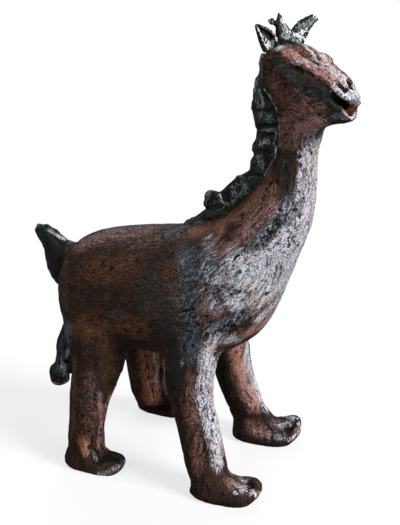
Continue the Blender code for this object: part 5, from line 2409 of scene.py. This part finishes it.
@dataclass
class SmallPiece:
    """A piece modelled anew on the head, under dry glaze."""

    piece: Object = field(init=False)

    def even_out(self, voxel: float, seed: int, grain: float) -> None:
        """Make one skin of the piece, with finger marks and grain on it.

        Args:
            voxel: Size of the skin's cells in metres.
            seed: Picks the pattern.
            grain: Height of the grain in millimetres.
        """
        Bench.even_clay(self.piece, voxel, 3)
        points = Bench.points(self.piece)
        rough = Noise.layered(points, size=0.006, seed=seed, layers=2) * 0.7
        rough += Noise.smooth(points, size=0.002, seed=seed + 3) * grain
        Bench.swell(self.piece, rough * MM)

    def dress(self, material: Material, marks: dict[Layer, tuple[Mark, ...]]) -> None:
        """Lay the colours where the photograph shows them.

        Args:
            material: The glaze.
            marks: The colours' marks.
        """
        brush = Brush(Sight(self.piece), far_share=0.0)
        points = Bench.points(self.piece)
        colours = {layer: brush.colour(points, given) for layer, given in marks.items()}
        Bench.store(self.piece, colours)
        Bench.coat(self.piece, material)


@dataclass(frozen=True)
class LeafRow:
    """One line across an ear: near rim, outer fold, back and far rim, in pixels."""

    rim: Pixel
    fold: Pixel
    back: Pixel
    far: Pixel


@dataclass
class Ear(SmallPiece):
    """A leaf of clay curled into a cup, its foot in centimetres, lean and cup in millimetres."""

    name: str
    foot: Triple
    lean: float
    cup: tuple[float, float, float, float]
    rows: tuple[LeafRow, ...]
    knots: tuple[float, float, float, float] = (0.0, 0.22, 0.62, 1.0)
    cells: tuple[int, int] = (36, 44)
    wall: float = 2.0 * MM
    voxel: float = 0.6 * MM
    seed: int = 61
    grain: float = 0.2

    def build(self) -> None:
        """Model the ear from a grid laid over its rows and given a wall."""
        self.piece = Bench.add(
            bpy.ops.mesh.primitive_grid_add,
            x_subdivisions=self.cells[0],
            y_subdivisions=self.cells[1],
            size=1.0,
        )
        self.piece.name = self.name
        u, v = Bench.points(self.piece)[:, :2].T + 0.5
        controls = np.array([[row.rim, row.fold, row.back, row.far] for row in self.rows])
        stations = np.linspace(0.0, 1.0, len(self.rows))
        width = np.linalg.norm(controls[:, 3] - controls[:, 1], axis=1)
        width = np.interp(v, stations, width / width.max())
        across = np.array([
            [np.interp(v, stations, controls[:, k, axis]) for axis in (0, 1)] for k in range(4)
        ])
        weights = self.curve(u)
        px, py = np.einsum("kn,kan->an", weights, across)
        depth = CAMERA.depth_of(HEAD.matrix() @ Vector(self.foot)) + self.lean * MM * v
        depth = depth + np.einsum("kn,k->n", weights, np.array(self.cup)) * MM * width
        place = np.array([CAMERA.at_depth(*spot) for spot in zip(px, py, depth)])
        Bench.set_points(self.piece, place)
        Bench.apply(
            self.piece, "SOLIDIFY", thickness=self.wall, offset=0.0, use_even_offset=False
        )
        Bench.merged(self.piece)
        self.even_out(self.voxel, self.seed, self.grain)

    def curve(self, u: np.ndarray) -> np.ndarray:
        """Blend four points into a smooth curve that starts at the first and ends at the last.

        Args:
            u: Places along the curve, from 0 to 1.

        Returns:
            The weights of the four points, one row a point.
        """
        weights = np.ones((len(self.knots), len(u)))
        for weight, knot in zip(weights, self.knots):
            for other in self.knots:
                if other != knot:
                    weight *= (u - other) / (knot - other)
        return weights


@dataclass(frozen=True)
class Roll:
    """A tapered roll of clay, with its path in pixels.

    Its radii are in millimetres, and so is its depth off the head's middle.
    """

    name: str
    path: Path
    radii: tuple[float, ...]
    depth: float
    flat: float = 0.9


@dataclass
class Forelock(SmallPiece):
    """The spike, the curled knob and the pale prong between the ears."""

    middle: Triple = (9.9, 0.0, 48.0)
    rolls: tuple[Roll, ...] = (
        Roll(
            "spike", ((285, 47), (279.5, 35), (278, 23), (278.8, 13.5)), (7.5, 4.2, 2.8, 1.3), 0.0
        ),
        Roll(
            "pale prong",
            ((291, 46), (285, 33), (281.5, 23), (281.3, 15.5)),
            (8.0, 5.0, 2.6, 1.2),
            2.0,
        ),
        Roll(
            "low prong", ((300, 48), (293, 38), (288, 31), (284.5, 24)), (5.5, 4.4, 3.2, 1.6), 6.0
        ),
        Roll("knob arm", ((278, 26), (274.5, 22.5), (272, 21.5)), (2.6, 2.4, 3.0), -1.0),
        Roll(
            "knob",
            ((269.3, 20.5), (272.3, 19.2), (274, 21.5), (271.5, 23.5), (269.3, 21)),
            (1.5, 1.5, 1.5, 1.5, 1.5),
            -2.0,
            1.6,
        ),
        Roll("inner root", ((279, 47), (277, 40)), (5.0, 2.5), 0.0),
    )
    ball_step: float = 1.6
    ball_sides: int = 12
    voxel: float = 0.7 * MM
    seed: int = 81
    grain: float = 0.25

    def build(self) -> None:
        """Model the forelock from tapered rolls of clay pressed together."""
        self.piece = Bench.join([ball for roll in self.rolls for ball in self.balls(roll)])
        self.piece.name = "forelock"
        self.even_out(self.voxel, self.seed, self.grain)

    def balls(self, roll: Roll) -> list[Object]:
        """Press a roll together from balls.

        Args:
            roll: The roll.

        Returns:
            The balls, from its foot to its tip.
        """
        depth = CAMERA.depth_of(HEAD.matrix() @ Vector(self.middle)) + roll.depth * MM
        spots = np.column_stack([roll.path, roll.radii])
        made = []
        for start, end in zip(spots, spots[1:]):
            count = max(2, round(math.dist(start[:2], end[:2]) / self.ball_step))
            for k in range(count + 1):
                px, py, radius = start + (end - start) * (k / count)
                radius *= MM
                half = (radius, radius * roll.flat, radius)
                place = pressed(CAMERA.at_depth(px, py, depth), half)
                made.append(Bench.ball(place, self.ball_sides))
        return made


NEAR_EAR_MARKS: dict[Layer, tuple[Mark, ...]] = {
    Layer.PALE: (
        # The back wall is painted light where the ear's inside is lit.
        Mark("back wall", ((263, 33), (266, 38), (269, 41)), 3.4, 1.0),
        Mark("top edge", ((258, 25), (264, 28), (270, 31)), 1.2, 0.4),
    ),
    Layer.CHALK: (
        Mark("near rim", ((257, 26), (260, 32), (262.5, 38), (265.5, 45)), 1.3, 0.9),
        Mark("far rim", ((272.5, 33), (276, 37), (276.5, 41)), 1.8, 0.9),
        Mark("foot", ((268.5, 46), (272, 43.5), (276, 42)), 3.6, 0.7),
        Mark("back wall", ((265, 39), (268, 42)), 2.5, 0.55),
    ),
    Layer.SOOT: (
        # Painted shade in the ear's hollow.
        Mark("hollow", ((260, 27.5), (265, 30), (270, 34), (271, 39)), 2.6, 0.9),
        Mark("outer fold", ((256, 27), (257.5, 34), (260, 43), (262, 48)), 1.6, 0.6),
    ),
}
FAR_EAR_MARKS: dict[Layer, tuple[Mark, ...]] = {
    Layer.PALE: (
        Mark("inside", ((298, 28), (306, 23), (313, 18)), 4.5, 0.5),
        Mark("right side", ((303, 33), (309, 27), (314, 21)), 3.5, 0.65),
    ),
    Layer.CHALK: (
        Mark("foot", ((294, 37), (299, 36), (303, 38)), 3.4, 0.75),
        Mark("right foot", ((302, 33), (306, 31)), 3.0, 0.65),
        Mark("tip", ((314, 16), (317, 17.5)), 1.6, 0.9),
        Mark("speck", ((298, 23.5), (300, 21.5)), 1.4, 0.8),
    ),
    Layer.SOOT: (
        # Painted shade on the upper rim, which is seen edge on, and in the hollow.
        Mark(
            "upper rim",
            ((291.5, 29.5), (295, 26), (299, 21.3), (306, 17.5), (312.5, 14.8)),
            1.5,
            0.95,
        ),
        Mark("hollow", ((297, 31), (299, 29)), 2.2, 0.6),
        Mark("tip edge", ((317.5, 19), (316, 22)), 1.2, 0.7),
        Mark("foot edge", ((297, 37.8), (301, 38)), 1.0, 0.5),
    ),
}
FORELOCK_MARKS: dict[Layer, tuple[Mark, ...]] = {
    Layer.PALE: (
        Mark("prong", ((283, 17), (284, 26), (290, 35)), 4.0, 0.75),
        Mark("low prong", ((284, 36), (291, 36), (298, 41)), 4.0, 0.6),
        Mark("knob ring", ((270, 21), (273, 21.5)), 1.5, 0.35),
    ),
    Layer.CHALK: (
        Mark("prong tip", ((282, 16), (284, 23), (286, 28)), 2.2, 0.6),
        Mark("prong foot", ((286, 29), (292, 33), (297, 38)), 2.6, 0.45),
    ),
    Layer.SOOT: (
        Mark("dark stripe", ((277.5, 21), (276.8, 29), (278, 38)), 3.0, 0.9),
        Mark("spike", ((278.6, 12), (277, 18)), 2.0, 0.7),
        Mark("foot", ((280, 41), (288, 42), (294, 43)), 2.0, 0.5),
    ),
}


@dataclass(frozen=True)
class Lamp:
    """A distant soft light that points at the horse, with its angles in degrees."""

    name: str
    azimuth: float
    elevation: float
    strength: float
    spread: float
    tint: Colour
    distance: float = 3.0

    def hang(self) -> None:
        """Add the light."""
        away = direction(self.azimuth, self.elevation)
        bpy.ops.object.light_add(type="SUN", location=away * self.distance)
        lamp = bpy.context.object
        lamp.name = self.name
        lamp.data.energy = self.strength
        lamp.data.angle = math.radians(self.spread)
        lamp.data.color = self.tint
        lamp.rotation_euler = away.to_track_quat("Z", "Y").to_euler()


@dataclass(frozen=True)
class Studio:
    """A pale floor, soft lights and the photograph's camera."""

    floor_size: float = 60.0
    sky: float = 0.37
    lamps: tuple[Lamp, ...] = (
        Lamp("key", 84.0, 38.0, 4.2, 22.0, (1.0, 0.98, 0.96)),
        Lamp("fill", -20.0, 30.0, 0.40, 40.0, (0.95, 0.97, 1.0)),
        Lamp("back", 205.0, 40.0, 0.9, 35.0, (0.96, 0.98, 1.0)),
    )

    def build(self) -> None:
        """Set up the studio."""
        CAMERA.add()
        floor = Bench.add(bpy.ops.mesh.primitive_plane_add, size=self.floor_size)
        floor.name = "studio_floor"
        floor.data.materials.append(StudioFinish().build())
        floor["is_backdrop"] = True
        for lamp in self.lamps:
            lamp.hang()
        self.world()

    def world(self) -> None:
        """Surround the studio with even light, white where the camera looks past the floor."""
        world = bpy.data.worlds.new("studio")
        bpy.context.scene.world = world
        world.use_nodes = True
        sheet = ShaderSheet(world.node_tree)
        background = world.node_tree.nodes["Background"]
        background.inputs["Color"].default_value = WHITE
        strength = sheet.ramp(sheet.seen_by_camera(), 0.0, 1.0, self.sky, 1.0)
        sheet.feed(background.inputs["Strength"], strength)
        bpy.context.scene.view_settings.view_transform = "Standard"


def finish_piece(piece: Object) -> None:
    """Attach a piece to the root body, and hide the solid horse that it stands for.

    Args:
        piece: The piece.
    """
    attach(piece, "root")
    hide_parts(NODE)
    log.info("%s: %d triangles", piece.name, Bench.triangles(piece))


def build_ears() -> tuple[Ear, Ear]:
    """Give the two ears with the rows that the photograph shows.

    Returns:
        The near and the far ear.
    """
    near_rows = (
        LeafRow((266.5, 53), (264, 52), (272, 52), (278, 50)),
        LeafRow((265.2, 46), (261.6, 46), (271, 44), (277, 41)),
        LeafRow((262.6, 38.6), (259.2, 39), (268, 37), (275.5, 36.5)),
        LeafRow((260.3, 32.6), (257.6, 33), (265, 31), (272, 32)),
        LeafRow((258.5, 28.4), (256.2, 28.5), (262, 28), (267, 29)),
        LeafRow((257.0, 25.4), (255.6, 25.6), (258.8, 25.4), (261.5, 26.8)),
        LeafRow((256.2, 24.3), (255.9, 24.4), (256.6, 24.3), (257.2, 24.6)),
    )
    far_rows = (
        LeafRow((294.5, 43), (293.5, 42), (299, 44), (303, 44)),
        LeafRow((294.5, 36), (293.0, 35.5), (299.5, 38), (304, 39)),
        LeafRow((294.8, 30.5), (292.3, 29.7), (301, 33), (307, 34.5)),
        LeafRow((297.0, 27.2), (295.3, 26.0), (303, 29), (309.3, 29)),
        LeafRow((300.6, 23.3), (299.2, 21.8), (306.5, 25), (313, 24.2)),
        LeafRow((306.5, 19.3), (305.6, 18.0), (311, 21), (316.6, 20.4)),
        LeafRow((312.3, 16.2), (311.8, 15.2), (314.6, 17.2), (317.2, 18)),
        LeafRow((314.2, 15.4), (314.0, 15.0), (315.2, 15.6), (316, 16.2)),
    )
    near = Ear("near_ear", (9.75, -1.6, 46.4), -9.0, (-3.5, 1.5, 8.0, 3.0), near_rows)
    far = Ear("far_ear", (10.0, 1.75, 46.3), 10.0, (-2.0, 0.5, 3.5, 0.0), far_rows)
    return near, far


def main() -> None:
    """Build the horse and its studio in order."""
    logging.basicConfig(level=logging.INFO, format="%(name)s: %(message)s")
    frame_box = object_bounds()
    Studio().build()
    effects = SharedEffects()
    clay = ClayFinish().build(effects)
    dark_glaze = GlazeFinish("dark mane glaze").build(effects)
    dry_glaze = GlazeFinish("dry pale glaze", roughness=0.45, softness=0.16, gloss=0.1).build(effects)
    skin = ClaySkin()
    skin.build()
    sight = Sight(skin.piece)
    crest, _ = crest_limits(sight)
    mane = Mane()
    mane.build(sight)
    mane.dress(dark_glaze)
    finish_piece(mane.piece)
    skin.dress(Brush(sight), clay, crest, frame_box)
    finish_piece(skin.piece)
    all_marks = (NEAR_EAR_MARKS, FAR_EAR_MARKS, FORELOCK_MARKS)
    for small, marks in zip((*build_ears(), Forelock()), all_marks):
        small.build()
        small.dress(dry_glaze, marks)
        finish_piece(small.piece)


if __name__ == "__main__":
    main()
